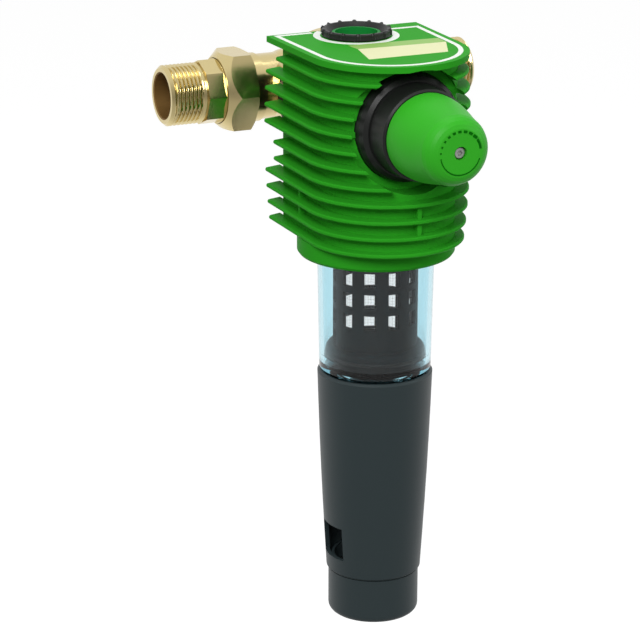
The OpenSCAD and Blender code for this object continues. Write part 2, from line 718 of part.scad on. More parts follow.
module knob_screw() {
    seat_f = f_knob_end - screw_recess_l;
    color("silver") knob_axis() difference() {
        turned([[0, seat_f - 11], [2, seat_f - 11], [2, seat_f], [screw_recess_d / 2 - 0.5, seat_f],
                [screw_recess_d / 2 - 0.5, seat_f + 2.4], [screw_recess_d / 2 - 0.9, seat_f + 2.8],
                [0, seat_f + 2.8]]);
        translate([0, 0, seat_f + 1.2]) cylinder(d = 2.9, h = 3, $fn = 6);
    }
}

// Bowl and strainer
module bowl() {
    neck_d = socket_d - 0.6;
    neck_in = neck_d / 2 - 3;
    top_r = bowl_top_d / 2;
    low_r = bowl_foot_d / 2;
    flange_r = ring_d / 2 - 3 - fit;
    z_flange = z_bowl_flange;
    z_neck = z_head - bowl_seal_t;
    z_top_edge = z_cage_top - cage_flange_t;
    color([0.75, 0.88, 0.92, 0.45]) filter_frame() turned([
        [shoulder_d / 2 + fit, z_bowl], [low_r - 1.5, z_bowl], [low_r, z_bowl + 1.5], [top_r, z_flange - 1],
        [top_r + 0.6, z_flange], [flange_r, z_flange], [flange_r, z_neck], [neck_d / 2, z_neck],
        [neck_d / 2, z_top_edge], [neck_in, z_top_edge], [neck_in, z_neck],
            [top_r - bowl_wall, z_flange - 3],
        [low_r - bowl_wall, z_floor + 2], [low_r - bowl_wall - 2, z_floor],
            [shoulder_d / 2 + fit, z_floor]]);
}
module bowl_seal() {
    color([0.1, 0.1, 0.1]) filter_frame() tube(head_d - 0.6, socket_d + 0.2, z_head - bowl_seal_t, z_head);
}
module strainer_cage() {
    rows_z = z_cage + window_land + window_h / 2;
    z_flange = z_cage_top - cage_flange_t;
    color([0.17, 0.18, 0.19]) filter_frame() difference() {
        turned([[cage_d / 2 - cage_wall, z_cage], [cage_d / 2, z_cage], [cage_d / 2, z_flange - 3],
                [socket_d / 2 - 3.7, z_flange], [socket_d / 2 - 0.6, z_flange],
                [socket_d / 2 - 0.6, z_cage_top], [cage_d / 2 - cage_wall, z_cage_top]]);
        for (row = [0 : row_n - 1], column = [0 : column_n - 1])
            translate([0, 0, rows_z + row * window_pitch])
                rotate([0, 0, column * 360 / column_n + column_turn])
                translate([cage_d / 2, 0, 0]) cube([cage_d / 2, window_w, window_h], center = true);
        // holes that let the clean water up past the flange
        for (column = [0 : column_n - 1]) rotate([0, 0, column * 360 / column_n])
            translate([cage_d / 2 + 2.4, 0, 0])
            disc(3, z_flange - 4, z_cage_top + over);
    }
}
module strainer_mesh() {
    outer = cage_d - 2 * cage_wall - 2 * fit;
    color("lightgray") filter_frame() tube(outer, outer - 0.8, z_cage + fit, z_cage_top - fit);
}
module strainer_seal() {
    color([0.1, 0.1, 0.1]) filter_frame() tube(cage_d + 1.6, cage_d - 2 * cage_wall, z_cage_top, z_socket);
}
module strainer_foot() {
    rim_r = foot_d / 2;
    neck_r = cage_d / 2;
    inner_r = neck_r - 3;
    groove_r = bowl_inner(z_foot) - 4 * seal_section / 2;
    shoulder = [for (a = [0 : 15 : 90])
        [neck_r + (rim_r - neck_r) * cos(a), z_foot + 2.6 + (foot_h - 2.6) * sin(a)]];
    color([0.15, 0.16, 0.17]) filter_frame() turned(concat(
        [[inner_r, z_floor], [rim_r - 5, z_floor], [rim_r - 5, z_foot - 1.4], [rim_r, z_foot - 1.4],
         [rim_r, z_foot - 0.9], [groove_r, z_foot - 0.9], [groove_r, z_foot + 0.9], [rim_r, z_foot + 0.9]],
        shoulder, [[inner_r, z_cage]]));
}
module foot_seal() {
    color([0.05, 0.05, 0.05]) filter_frame() rotate_extrude($fn = fine)
        translate([bowl_inner(z_foot) - seal_section, z_foot]) circle(r = seal_section, $fn = rough);
}

// Drain mechanism and grip
module drain_tube() {
    bore = tube_d / 2 - tube_wall;
    groove_r = tube_d / 2 - clip_groove;
    clip_zs = [z_sleeve - gap - clip_t, z_hub - clip_t];
    color([0.2, 0.21, 0.22]) filter_frame() difference() {
        turned([[0, z_tube], [tube_d / 2, z_tube], [tube_d / 2, z_sleeve_top + gap],
                [shoulder_d / 2, z_sleeve_top + gap], [shoulder_d / 2, z_tube_flange],
                [tube_flange_d / 2, z_tube_flange], [tube_flange_d / 2, z_seat], [0, z_seat]]);
        disc(2 * bore, z_plug, z_seat + over);
        disc(2 * bore, z_tube - over, z_plug - tube_plug_t);
        // ports that let the water out, and upright slots that guide the drive pin
        for (turn = [0, 90]) rotate([0, 0, turn + 45])
            translate([0, 0, z_sleeve_top + port_above_sleeve]) rotate([90, 0, 0])
                cylinder(d = tube_port_d, h = 2 * shoulder_d, center = true, $fn = rough);
        translate([-shoulder_d, -pin_d / 2 - gap, z_pin])
            cube([2 * shoulder_d, pin_d + 2 * gap, piston_lift]);
        for (z = [z_pin, z_pin + piston_lift]) translate([0, 0, z]) rotate([0, 90, 0])
            cylinder(d = pin_d + 2 * gap, h = 2 * shoulder_d, center = true, $fn = rough);
        for (z = clip_zs) tube(tube_d + 2, 2 * groove_r, z - fit, z + clip_t + fit);
    }
}
module tube_clips() {
    groove_r = tube_d / 2 - clip_groove;
    color("silver") for (z = [z_sleeve - gap - clip_t, z_hub - clip_t]) filter_frame() difference() {
        tube(tube_d + 2 * clip_w, 2 * groove_r + 2 * fit, z, z + clip_t);
        translate([0, -2, z - over]) cube([tube_d, 4, clip_t + 2 * over]);
    }
}
module tube_gasket() {
    color([0.1, 0.1, 0.1]) filter_frame() tube(tube_flange_d - 1, shoulder_d + 0.4, z_floor, z_tube_flange);
}
module tube_nut() {
    nut_t = 5;
    color([0.2, 0.21, 0.22]) filter_frame() difference() {
        translate([0, 0, z_bowl - nut_t]) cylinder(d = shoulder_d + 2 * tube_nut_w, h = nut_t, $fn = 8);
        disc(shoulder_d + 2 * fit, z_bowl - nut_t - over, z_bowl + over);
    }
}
module drain_piston() {
    rod_z = z_pin - rod_below_pin;
    rim_z = z_seat + pad_t + plug_rim_t;
    cone_z = rim_z + plug_cone_h;
    color("goldenrod") filter_frame() difference() {
        turned([[0, rod_z], [stem_rod_d / 2, rod_z], [stem_rod_d / 2, z_seat + pad_t],
                [plug_d / 2, z_seat + pad_t],
                [plug_d / 2, rim_z], [stem_rod_d / 2 + 1, cone_z], [0, cone_z]]);
        translate([0, 0, z_pin]) rotate([0, 90, 0])
            cylinder(d = pin_d + 2 * run, h = 2 * stem_rod_d, center = true, $fn = rough);
    }
}
module drain_pad() {
    color([0.1, 0.1, 0.1]) filter_frame() tube(plug_d - 0.6, stem_rod_d + 2 * run, z_seat + run,
        z_seat + pad_t);
}
module drive_pin() {
    color("silver") filter_frame() translate([0, 0, z_pin]) rotate([0, 90, 0])
        cylinder(d = pin_d, h = sleeve_d - 1, center = true, $fn = rough);
}
module cam_sleeve() {
    step = 10;
    steps = ceil(grip_turn / step);
    color([0.3, 0.31, 0.32]) filter_frame() difference() {
        tube(sleeve_d, tube_d + 2 * run, z_sleeve, z_sleeve_top);
        // two helical slots: turning the grip lifts the pin
        for (i = [0 : steps]) rotate([0, 0, -grip_turn * i / steps])
            translate([0, 0, z_pin + piston_lift * i / steps])
            rotate([0, 90, 0]) cylinder(d = pin_d + 1.6, h = 2 * sleeve_d, center = true, $fn = rough);
    }
}
function grip_r(t) = grip_low_d / 2 + (grip_top_d - grip_low_d) / 2 * t + grip_swell * sin(180 * t);
module grip() {
    steps = 6;
    edge = 1.2;
    outer = [for (i = [0 : steps]) [grip_r(i / steps), z_grip + edge + (grip_h - 2 * edge) * i / steps]];
    inner = [for (i = [steps : -1 : 0])
        [grip_r(i / steps) - grip_wall, z_grip + edge + (grip_h - 2 * edge) * i / steps]];
    spoke_z = z_sleeve + 4;
    spoke_h = sleeve_h - 8;
    color([0.22, 0.24, 0.24]) filter_frame() difference() {
        union() {
            turned(concat([[grip_low_d / 2 - grip_wall, z_grip], [grip_low_d / 2 - edge, z_grip]], outer,
                [[grip_top_d / 2 - edge, z_grip + grip_h],
                    [grip_top_d / 2 - grip_wall, z_grip + grip_h]], inner));
            // three spokes carry the cam sleeve
            for (turn = [60 : 120 : 300]) rotate([0, 0, turn + 60])
                translate([sleeve_d / 2 + 1, -1.5, spoke_z])
                cube([grip_r(0.6) - 0.8 - sleeve_d / 2 - 1, 3, spoke_h]);
            tube(sleeve_d + 5, sleeve_d + 2 * fit, spoke_z, spoke_z + spoke_h);
        }
        translate([-grip_top_d, -air_w / 2, z_grip + air_z]) cube([2 * grip_top_d, air_w, air_h]);
    }
}
module drain_spigot() {
    r = spigot_d / 2;
    neck_r = grip_low_d / 2 - grip_wall - 2 * gap;
    inner_r = r - spigot_wall;
    hub_r = tube_d / 2 + 3.5;
    color([0.2, 0.22, 0.22]) filter_frame() difference() {
        union() {
            turned(concat([[inner_r - 2, 0], [r - spigot_round, 0]],
                [for (a = [15 : 15 : 75])
                    [r - spigot_round + spigot_round * sin(a), spigot_round - spigot_round * cos(a)]],
                [[r, spigot_round], [r, spigot_h], [neck_r, spigot_h], [neck_r, spigot_h + spigot_neck_h],
                 [neck_r - 1.4, spigot_h + spigot_neck_h], [inner_r - 2.4, spigot_h],
                     [inner_r, spigot_h - 3],
                 [inner_r, spigot_round]]));
            for (turn = [0 : 120 : 240]) rotate([0, 0, turn]) translate([hub_r - 1, -1.5, z_hub])
                cube([inner_r - hub_r + 1.6, 3, hub_h - 3]);
            tube(2 * hub_r, tube_d + 2 * fit, z_hub, z_hub + hub_h);
        }
    }
}

connection_body();
inlet_nipple();
outlet_nipple();
inlet_union_nut();
outlet_union_nut();
inlet_gasket();
outlet_gasket();
flange_seal();
flange_screws();
head_body();
finned_shell();
reminder_ring();
clamp_ring();
spring_bonnet();
diaphragm();
diaphragm_plate();
valve_stem();
valve_pad();
valve_seat();
reducer_spring();
spring_carrier();
adjusting_spindle();
adjusting_knob();
knob_screw();
bowl();
bowl_seal();
strainer_cage();
strainer_mesh();
strainer_seal();
strainer_foot();
foot_seal();
drain_tube();
tube_gasket();
tube_nut();
drain_piston();
drain_pad();
drive_pin();
cam_sleeve();
grip();
tube_clips();
drain_spigot();
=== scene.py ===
"""Backwash water filter: finishes, pipe threads, reminder ring, strainer, printed marks, light and camera."""

import json
import logging
import math
from collections.abc import Callable
from dataclasses import dataclass
from enum import Enum

import bmesh
import bpy
from bmesh.types import BMesh, BMVert
from bpy.types import ID, Material, Mesh, Node, NodeSocket, NodeTree, Object
from mathutils import Matrix, Vector


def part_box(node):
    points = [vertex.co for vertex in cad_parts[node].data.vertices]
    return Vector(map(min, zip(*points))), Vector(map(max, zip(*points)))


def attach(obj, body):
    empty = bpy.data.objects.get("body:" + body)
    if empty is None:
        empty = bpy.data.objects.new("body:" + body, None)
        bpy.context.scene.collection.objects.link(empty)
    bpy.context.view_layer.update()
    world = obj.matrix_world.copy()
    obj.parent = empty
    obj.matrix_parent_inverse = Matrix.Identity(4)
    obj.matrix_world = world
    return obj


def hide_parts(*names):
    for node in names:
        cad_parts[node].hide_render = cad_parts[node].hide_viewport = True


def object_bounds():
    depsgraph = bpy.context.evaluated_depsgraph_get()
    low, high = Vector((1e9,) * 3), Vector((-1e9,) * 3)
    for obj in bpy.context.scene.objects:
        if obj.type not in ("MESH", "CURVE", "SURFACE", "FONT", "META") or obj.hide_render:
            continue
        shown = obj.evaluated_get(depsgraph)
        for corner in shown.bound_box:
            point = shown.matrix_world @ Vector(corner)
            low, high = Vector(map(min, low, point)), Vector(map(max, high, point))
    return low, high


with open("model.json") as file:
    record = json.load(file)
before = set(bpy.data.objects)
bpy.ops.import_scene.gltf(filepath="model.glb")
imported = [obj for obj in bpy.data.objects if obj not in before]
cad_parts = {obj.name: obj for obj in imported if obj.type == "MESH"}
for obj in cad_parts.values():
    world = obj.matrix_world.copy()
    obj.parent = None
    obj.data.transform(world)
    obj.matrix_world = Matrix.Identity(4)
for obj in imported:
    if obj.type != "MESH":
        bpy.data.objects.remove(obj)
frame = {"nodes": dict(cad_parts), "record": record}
CAD_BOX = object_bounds()

MM = 0.001
# From the pipe run's axis to the filter axis
PIPE_OFFSET = 79 * MM
# Edges that turn by more than this angle stay sharp
SHARP = math.radians(30)
LOG = logging.getLogger("filter_scene")
Radius = Callable[[float], float]
Ring = tuple[float, float | Radius]
Colour = tuple[float, float, float]
Corners = tuple[tuple[float, float], ...]
Line = list[Vector]
WHITE = (1.0, 1.0, 1.0, 1.0)


class Body(Enum):
    """Bodies of the frame that new pieces ride on."""

    FIXED = "filter_body"
    KNOB = "knob_body"
    RING = "ring_body"


class Slot(Enum):
    """Material slots of the record."""

    GREEN = "green_plastic"
    KNOB = "knob_green"
    BRASS = "brass"
    ANTHRACITE = "anthracite"
    BLACK = "black_plastic"
    CLEAR = "clear"
    STEEL = "steel"
    RUBBER = "rubber"


# Shared node helpers

GRAIN_DETAIL = 3.0


def feed(node: Node, **sockets: object) -> Node:
    """Feed a node's sockets.

    Args:
        node: The node.
        sockets: Values, output sockets, or nodes for their first output, by socket name with _ for a space.

    Returns:
        The node.
    """
    for label, value in sockets.items():
        socket = node.inputs[label.replace("_", " ")]
        source = value.outputs[0] if isinstance(value, Node) else value
        if isinstance(source, NodeSocket):
            node.id_data.links.new(source, socket)
        else:
            socket.default_value = source
    return node


def add_node(tree: NodeTree, kind: str, **sockets: object) -> Node:
    """Add a node to a tree and feed its sockets.

    Args:
        tree: The tree.
        kind: The node's type.
        sockets: The same as for feed.

    Returns:
        The node.
    """
    return feed(tree.nodes.new(kind), **sockets)


def grain_group() -> NodeTree:
    """Build the group that makes a fine uneven surface, once.

    Returns:
        The node group, with the inputs Scale, Low and High and the outputs Roughness and Height.
    """
    name = "Fine grain"
    if name in bpy.data.node_groups:
        return bpy.data.node_groups[name]
    tree = bpy.data.node_groups.new(name, "ShaderNodeTree")
    for label in ("Scale", "Low", "High"):
        tree.interface.new_socket(label, in_out="INPUT", socket_type="NodeSocketFloat")
    for label in ("Roughness", "Height"):
        tree.interface.new_socket(label, in_out="OUTPUT", socket_type="NodeSocketFloat")
    inside = add_node(tree, "NodeGroupInput")
    place = add_node(tree, "ShaderNodeTexCoord")
    noise = add_node(tree, "ShaderNodeTexNoise", Detail=GRAIN_DETAIL, Vector=place.outputs["Object"],
                     Scale=inside.outputs["Scale"])
    spread = add_node(tree, "ShaderNodeMapRange", Value=noise, To_Min=inside.outputs["Low"],
                      To_Max=inside.outputs["High"])
    add_node(tree, "NodeGroupOutput", Roughness=spread, Height=noise)
    return tree


# Finishes

@dataclass(frozen=True)
class Finish:
    """An opaque finish with a fine grain.

    Attributes:
        name: The material's name.
        colour: Linear base colour.
        rough_low: Roughness of the smoothest spots.
        rough_high: Roughness of the roughest spots.
        metallic: 1 for metal, 0 for plastic and rubber.
        grain: Grain spots per metre.
        relief: Height of the grain in metres.
        specular: Specular level of the surface.
    """

    name: str
    colour: Colour
    rough_low: float
    rough_high: float
    metallic: float = 0.0
    grain: float = 1500.0
    relief: float = 0.00001
    specular: float = 0.5

    def material(self) -> Material:
        """Build the material, or return it if it is there.

        Returns:
            The material.
        """
        if self.name in bpy.data.materials:
            return bpy.data.materials[self.name]
        made = bpy.data.materials.new(self.name)
        made.use_nodes = True
        tree = made.node_tree
        grain = add_node(tree, "ShaderNodeGroup")
        grain.node_tree = grain_group()
        feed(grain, Scale=self.grain, Low=self.rough_low, High=self.rough_high)
        bump = add_node(tree, "ShaderNodeBump", Distance=self.relief, Height=grain.outputs["Height"])
        feed(tree.nodes["Principled BSDF"], Base_Color=(*self.colour, 1.0), Metallic=self.metallic,
             Specular_IOR_Level=self.specular, Roughness=grain.outputs["Roughness"], Normal=bump)
        return made


@dataclass(frozen=True)
class ClearFinish:
    """A clear plastic.

    Attributes:
        name: The material's name.
        tint: Linear colour that thick plastic lets through.
        density: How strongly it takes up light, per metre.
        rim: Linear colour at the sides, where one looks along the wall.
        ior: Index of refraction.
        rim_from: Facing at which the rim's colour starts.
        rim_full: Facing at which it is full.
    """

    name: str
    tint: Colour
    density: float
    rim: Colour
    ior: float
    rim_from: float = 0.18
    rim_full: float = 0.45

    def material(self) -> Material:
        """Build the material, or return it if it is there.

        Returns:
            The material.
        """
        if self.name in bpy.data.materials:
            return bpy.data.materials[self.name]
        made = bpy.data.materials.new(self.name)
        made.use_nodes = True
        tree = made.node_tree
        facing = add_node(tree, "ShaderNodeLayerWeight")
        side = add_node(tree, "ShaderNodeMapRange", Value=facing.outputs["Facing"], From_Min=self.rim_from,
                        From_Max=self.rim_full)
        side.interpolation_type = "SMOOTHSTEP"
        blend = add_node(tree, "ShaderNodeMix")
        blend.data_type = "RGBA"
        feed(blend, Factor=side)
        colours = [socket for socket in blend.inputs if socket.type == "RGBA"]
        colours[0].default_value = WHITE
        colours[1].default_value = (*self.rim, 1.0)
        mixed = [socket for socket in blend.outputs if socket.type == "RGBA"]
        feed(tree.nodes["Principled BSDF"], Base_Color=mixed[0], Roughness=0.0, IOR=self.ior,
             Transmission_Weight=1.0)
        depth = add_node(tree, "ShaderNodeVolumeAbsorption", Color=(*self.tint, 1.0), Density=self.density)
        feed(tree.nodes["Material Output"], Volume=depth)
        return made


GREEN = Finish("shell green", (0.026, 0.33, 0.016), 0.4, 0.5, specular=0.02)
KNOB_GREEN = Finish("knob green", (0.030, 0.40, 0.014), 0.42, 0.52, specular=0.2)
BRASS = Finish("polished brass", (0.65, 0.535, 0.262), 0.15, 0.24, metallic=1.0, grain=400.0, relief=0.000004)
# Painted shade: a darker, duller brass for the faces inside the nipples' bores
BORE_SHADE_BRASS = Finish("raw brass", (0.22, 0.12, 0.03), 0.5, 0.65, metallic=0.6, grain=400.0)
ANTHRACITE = Finish("anthracite plastic", (0.026, 0.039, 0.042), 0.38, 0.5, specular=0.25)
STRAINER = Finish("strainer plastic", (0.004, 0.011, 0.013), 0.42, 0.54, specular=0.06)
BLACK = Finish("black plastic", (0.010, 0.011, 0.010), 0.36, 0.48, specular=0.25)
STEEL = Finish("stainless steel", (0.62, 0.62, 0.62), 0.22, 0.34, metallic=1.0)
RUBBER = Finish("seal rubber", (0.01, 0.01, 0.01), 0.55, 0.7)
CLEAR = ClearFinish("clear bowl plastic", (0.26, 0.68, 0.77), 40.0, (0.47, 0.76, 0.85), 1.45)
WHITE_PRINT = Finish("white print", (0.86, 0.90, 0.84), 0.4, 0.5)
CREAM_PRINT = Finish("cream print", (0.77, 0.78, 0.44), 0.4, 0.5)
PALE_GREEN_PRINT = Finish("pale green print", (0.24, 0.475, 0.075), 0.4, 0.5)
DARK_PRINT = Finish("dark green print", (0.001, 0.13, 0.001), 0.45, 0.55, specular=0.05)
# Painted shade: a darker copy of the shell green for the well inside the reminder ring
WELL_SHADE_GREEN = Finish("well green", (0.008, 0.20, 0.035), 0.4, 0.5, specular=0.1)
SCREW = Finish("screw steel", (0.46, 0.47, 0.45), 0.5, 0.6, metallic=1.0)

NODE_FINISH: dict[Slot, Finish | ClearFinish] = {
    Slot.GREEN: GREEN,
    Slot.KNOB: KNOB_GREEN,
    Slot.BRASS: BRASS,
    Slot.ANTHRACITE: ANTHRACITE,
    Slot.BLACK: BLACK,
    Slot.CLEAR: CLEAR,
    Slot.STEEL: STEEL,
    Slot.RUBBER: RUBBER,
}
OWN_FINISH: dict[str, Finish] = {"strainer_foot": STRAINER, "knob_screw": SCREW}


# Mesh helpers

# Stands up what is built along X
UPRIGHT = Matrix(((0.0, 0.0, -1.0), (0.0, 1.0, 0.0), (1.0, 0.0, 0.0))).to_4x4()


def add_object(name: str, data: ID) -> Object:
    """Add an object to the scene.

    Args:
        name: Its name.
        data: Its mesh, camera or light.

    Returns:
        The object.
    """
    made = bpy.data.objects.new(name, data)
    bpy.context.scene.collection.objects.link(made)
    return made


def place_piece(mesh: Mesh, name: str, finish: Finish | ClearFinish, body: Body, slot: Slot) -> Object:
    """Make a finished mesh a piece of the scene that rides on a body.

    Args:
        mesh: The mesh, in the frame's own coordinates.
        name: The piece's name.
        finish: Its finish.
        body: The body it rides on.
        slot: The record's material slot it belongs to; not used.

    Returns:
        The new object.
    """
    piece = add_object(name, mesh)
    mesh.materials.clear()
    mesh.materials.append(finish.material())
    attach(piece, body.value)
    LOG.info("piece %s: %d faces", name, len(mesh.polygons))
    return piece


def shade(build: BMesh, sharp: float) -> None:
    """Make a mesh smooth, with sharp edges where it turns.

    Args:
        build: The mesh.
        sharp: Edges that turn by more than this angle stay sharp.
    """
    for edge in build.edges:
        edge.smooth = edge.calc_face_angle(0.0) < sharp
    for face in build.faces:
        face.smooth = True


def closed_mesh(build: BMesh, name: str, sharp: float | None = None) -> Mesh:
    """Turn the faces of a closed shape outwards and make it a mesh.

    Args:
        build: The shape, which is used up.
        name: The mesh's name.
        sharp: Edges that turn by more than this angle stay sharp; every face is flat if there is none.

    Returns:
        The mesh.
    """
    bmesh.ops.recalc_face_normals(build, faces=build.faces)
    if sharp is not None:
        shade(build, sharp)
    mesh = bpy.data.meshes.new(name)
    build.to_mesh(mesh)
    build.free()
    return mesh


def bridge(build: BMesh, row: list[BMVert], after: list[BMVert]) -> None:
    """Join two closed rows of points by faces.

    Args:
        build: The shape.
        row: The first row.
        after: The second row, with as many points.
    """
    for k, point in enumerate(row):
        n = (k + 1) % len(row)
        build.faces.new((point, row[n], after[n], after[k]))


def ring_mesh(name: str, rings: list[Ring], segments: int, sharp: float = SHARP) -> Mesh:
    """Join rings about the X axis into one closed tube whose last ring meets its first.

    Args:
        name: The mesh's name.
        rings: For each ring its place along X and its radius, or a function of the turn that gives it.
        segments: Points on a ring.
        sharp: Edges that turn by more than this angle stay sharp.

    Returns:
        The mesh.
    """
    build = bmesh.new()
    turns = [2 * math.pi * k / segments for k in range(segments)]
    rows = []
    for x, radius in rings:
        sizes = [radius(t) if callable(radius) else radius for t in turns]
        rows.append([build.verts.new((x, r * math.cos(t), r * math.sin(t))) for r, t in zip(sizes, turns)])
    for index, row in enumerate(rows):
        bridge(build, row, rows[(index + 1) % len(rows)])
    return closed_mesh(build, name, sharp)


def flat_strip(name: str, inner: Line, outer: Line, low: float, high: float) -> Mesh:
    """Make a thin raised strip between two lines of points in plan.

    Args:
        name: The mesh's name.
        inner: Points of one side of the strip.
        outer: The same number of points of its other side.
        low: Height of its lower face.
        high: Height of its upper face.

    Returns:
        The mesh.
    """
    build = bmesh.new()
    columns = []
    for a, b in zip(inner, outer):
        corners = ((a, low), (b, low), (b, high), (a, high))
        columns.append([build.verts.new((point.x, point.y, z)) for point, z in corners])
    for column, after in zip(columns, columns[1:]):
        bridge(build, column, after)
    build.faces.new(columns[0])
    build.faces.new(columns[-1])
    return closed_mesh(build, name)


class GeometryTree:
    """A Geometry Nodes tree with named inputs that is made into one plain mesh."""

    def __init__(self, name: str, inputs: dict[str, float]) -> None:
        """Start a tree.

        Args:
            name: The tree's name.
            inputs: Its named sizes and counts; whole numbers make whole-number inputs.
        """
        self.name = name
        self.inputs = inputs
        self.tree = bpy.data.node_groups.new(name, "GeometryNodeTree")
        self.tree.interface.new_socket("Geometry", in_out="OUTPUT", socket_type="NodeSocketGeometry")
        self.tree.interface.new_socket("Base", in_out="INPUT", socket_type="NodeSocketGeometry")
        for label, value in inputs.items():
            kind = "NodeSocketInt" if isinstance(value, int) else "NodeSocketFloat"
            self.tree.interface.new_socket(label, in_out="INPUT", socket_type=kind)
        self.start = add_node(self.tree, "NodeGroupInput")

    def node(self, kind: str, **sockets: object) -> Node:
        """Add a node and feed its sockets.

        Args:
            kind: The node's type.
            sockets: The same as for feed, or names of the tree's inputs.

        Returns:
            The node.
        """
        named = {label: self.start.outputs[name] for label, name in sockets.items() if isinstance(name, str)}
        return add_node(self.tree, kind, **(sockets | named))

    def finish(self, parts: list[Node], finish: Finish) -> None:
        """Join the parts, realize them and set their material.

        Args:
            parts: Nodes with the geometry to join.
            finish: The finish of the whole piece.
        """
        join = self.node("GeometryNodeJoinGeometry")
        for part in parts:
            feed(join, Geometry=part)
        real = self.node("GeometryNodeRealizeInstances", Geometry=join)
        paint = self.node("GeometryNodeSetMaterial", Geometry=real, Material=finish.material())
        add_node(self.tree, "NodeGroupOutput", Geometry=paint)

    def mesh(self, name: str, place: Matrix, base: Mesh | None = None) -> Mesh:
        """Run the tree and take its result as a plain mesh.

        Args:
            name: The mesh's name.
            place: Where the result goes in the frame.
            base: The mesh that the tree starts from, if it has one.

        Returns:
            The mesh.
        """
        carrier = add_object(name, base or bpy.data.meshes.new(name + "_start"))
        modifier = carrier.modifiers.new(self.name, "NODES")
        modifier.node_group = self.tree
        for item in self.tree.interface.items_tree:
            if item.in_out == "INPUT" and item.name in self.inputs:
                modifier[item.identifier] = self.inputs[item.name]
        view = bpy.context.evaluated_depsgraph_get()
        made = bpy.data.meshes.new_from_object(carrier.evaluated_get(view), depsgraph=view)
        carrier.modifiers.remove(modifier)
        bpy.data.objects.remove(carrier)
        made.name = name
        made.transform(place)
        return made


# Sub-assemblies

@dataclass
class Connection:
    """The pipe run's two nipples, with threads and flats.

    Attributes:
        pitch: Thread pitch.
        depth: Thread depth.
        thread_l: Length of the threaded end.
        thread_r: Outer radius of the thread.
        bore_r: Radius of the bore.
        shank_r: Radius of the plain part.
        flats_r: Distance from the axis to a flat.
        collar_r: Radius of the collar in the union nut.
        collar_l: Length of the collar.
        flats_start: From the collar's back face to where the flats start.
        groove_l: Length of the groove between the flats and the thread.
        chamfer: Chamfer of the end.
        mouth: Chamfer of the bore's mouth.
        flat_count: Number of flats.
        root_w: How wide the thread's root is: 1 for a round one, more for one that is cut off flat.
        bore_share: How much of the mouth's chamfer counts as bore and gets its painted shade.
        steps: Rings to a pitch of the thread.
        segments: Points on a ring.
        sharp: Edges that turn by more than this angle stay sharp.
    """

    pitch: float = 2.309 * MM
    depth: float = 1.3 * MM
    thread_l: float = 20 * MM
    thread_r: float = 16.625 * MM
    bore_r: float = 12.5 * MM
    shank_r: float = 17.8 * MM
    flats_r: float = 16.5 * MM
    collar_r: float = 18.85 * MM
    collar_l: float = 4 * MM
    flats_start: float = 8.9 * MM
    groove_l: float = 1 * MM
    chamfer: float = 1.5 * MM
    mouth: float = 0.6 * MM
    flat_count: int = 8
    root_w: float = 1.5
    bore_share: float = 0.9
    steps: int = 8
    segments: int = 128
    sharp: float = math.radians(38)

    def flats(self, turn: float) -> float:
        """Return the radius of the part with flats at a turn about the axis."""
        step = 2 * math.pi / self.flat_count
        off = turn % step - step / 2
        return min(self.shank_r, self.flats_r / math.cos(off))

    def thread(self, x: float, start: float, end: float) -> Radius:
        """Make the radius function of the thread at one place along the axis.

        Args:
            x: The place along the axis.
            start: Where the thread starts.
            end: Where it ends.

        Returns:
            The radius as a function of the turn.
        """
        fade = min(1.0, (x - start) / self.pitch, (end - x) / self.pitch)

        def radius(turn: float) -> float:
            """Return the radius at a turn: a rounded ridge that climbs one pitch a turn."""
            phase = (x / self.pitch - turn / (2 * math.pi)) % 1.0
            valley = 0.5 + 0.5 * math.cos(2 * math.pi * phase)
            return self.thread_r - self.depth * max(fade, 0.0) * min(1.0, self.root_w * valley)

        return radius

    def nipple(self, name: str, node: str, side: float) -> None:
        """Build a nipple with its thread in place of the plain one.

        Args:
            name: The piece's name.
            node: The frame's node it stands for.
            side: -1 for the inlet, 1 for the outlet.
        """
        low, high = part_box(node)
        back = min(abs(low.x), abs(high.x))
        tip = max(abs(low.x), abs(high.x))
        shank = tip - self.thread_l
        end = tip - self.chamfer
        collar_end = back + self.collar_l
        flats = back + self.flats_start
        groove_r = self.thread_r - self.depth
        rings = [(back, self.bore_r), (back, self.collar_r), (collar_end, self.collar_r),
                 (collar_end, self.shank_r), (flats, self.shank_r), (flats, self.flats),
                 (shank - self.groove_l, self.flats), (shank - self.groove_l, groove_r), (shank, groove_r)]
        count = round((end - shank) / self.pitch * self.steps)
        for k in range(1, count):
            x = shank + (end - shank) * k / count
            rings.append((x, self.thread(x, shank, end)))
        rings += [(end, self.thread_r), (tip, self.thread_r - self.chamfer),
                  (tip, self.bore_r + self.mouth), (tip - self.mouth, self.bore_r)]
        mesh = ring_mesh(name, [(side * x, radius) for x, radius in rings], self.segments, self.sharp)
        piece = place_piece(mesh, name, BRASS, Body.FIXED, Slot.BRASS)
        # Faces inside the bore get a darker brass that paints the bore's shade
        mesh.materials.append(BORE_SHADE_BRASS.material())
        for face in mesh.polygons:
            if math.hypot(face.center.y, face.center.z) < self.bore_r + self.bore_share * self.mouth:
                face.material_index = 1
        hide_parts(node)

    def build(self) -> None:
        """Build both nipples."""
        self.nipple("threaded_inlet_nipple", "inlet_nipple", -1.0)
        self.nipple("threaded_outlet_nipple", "outlet_nipple", 1.0)


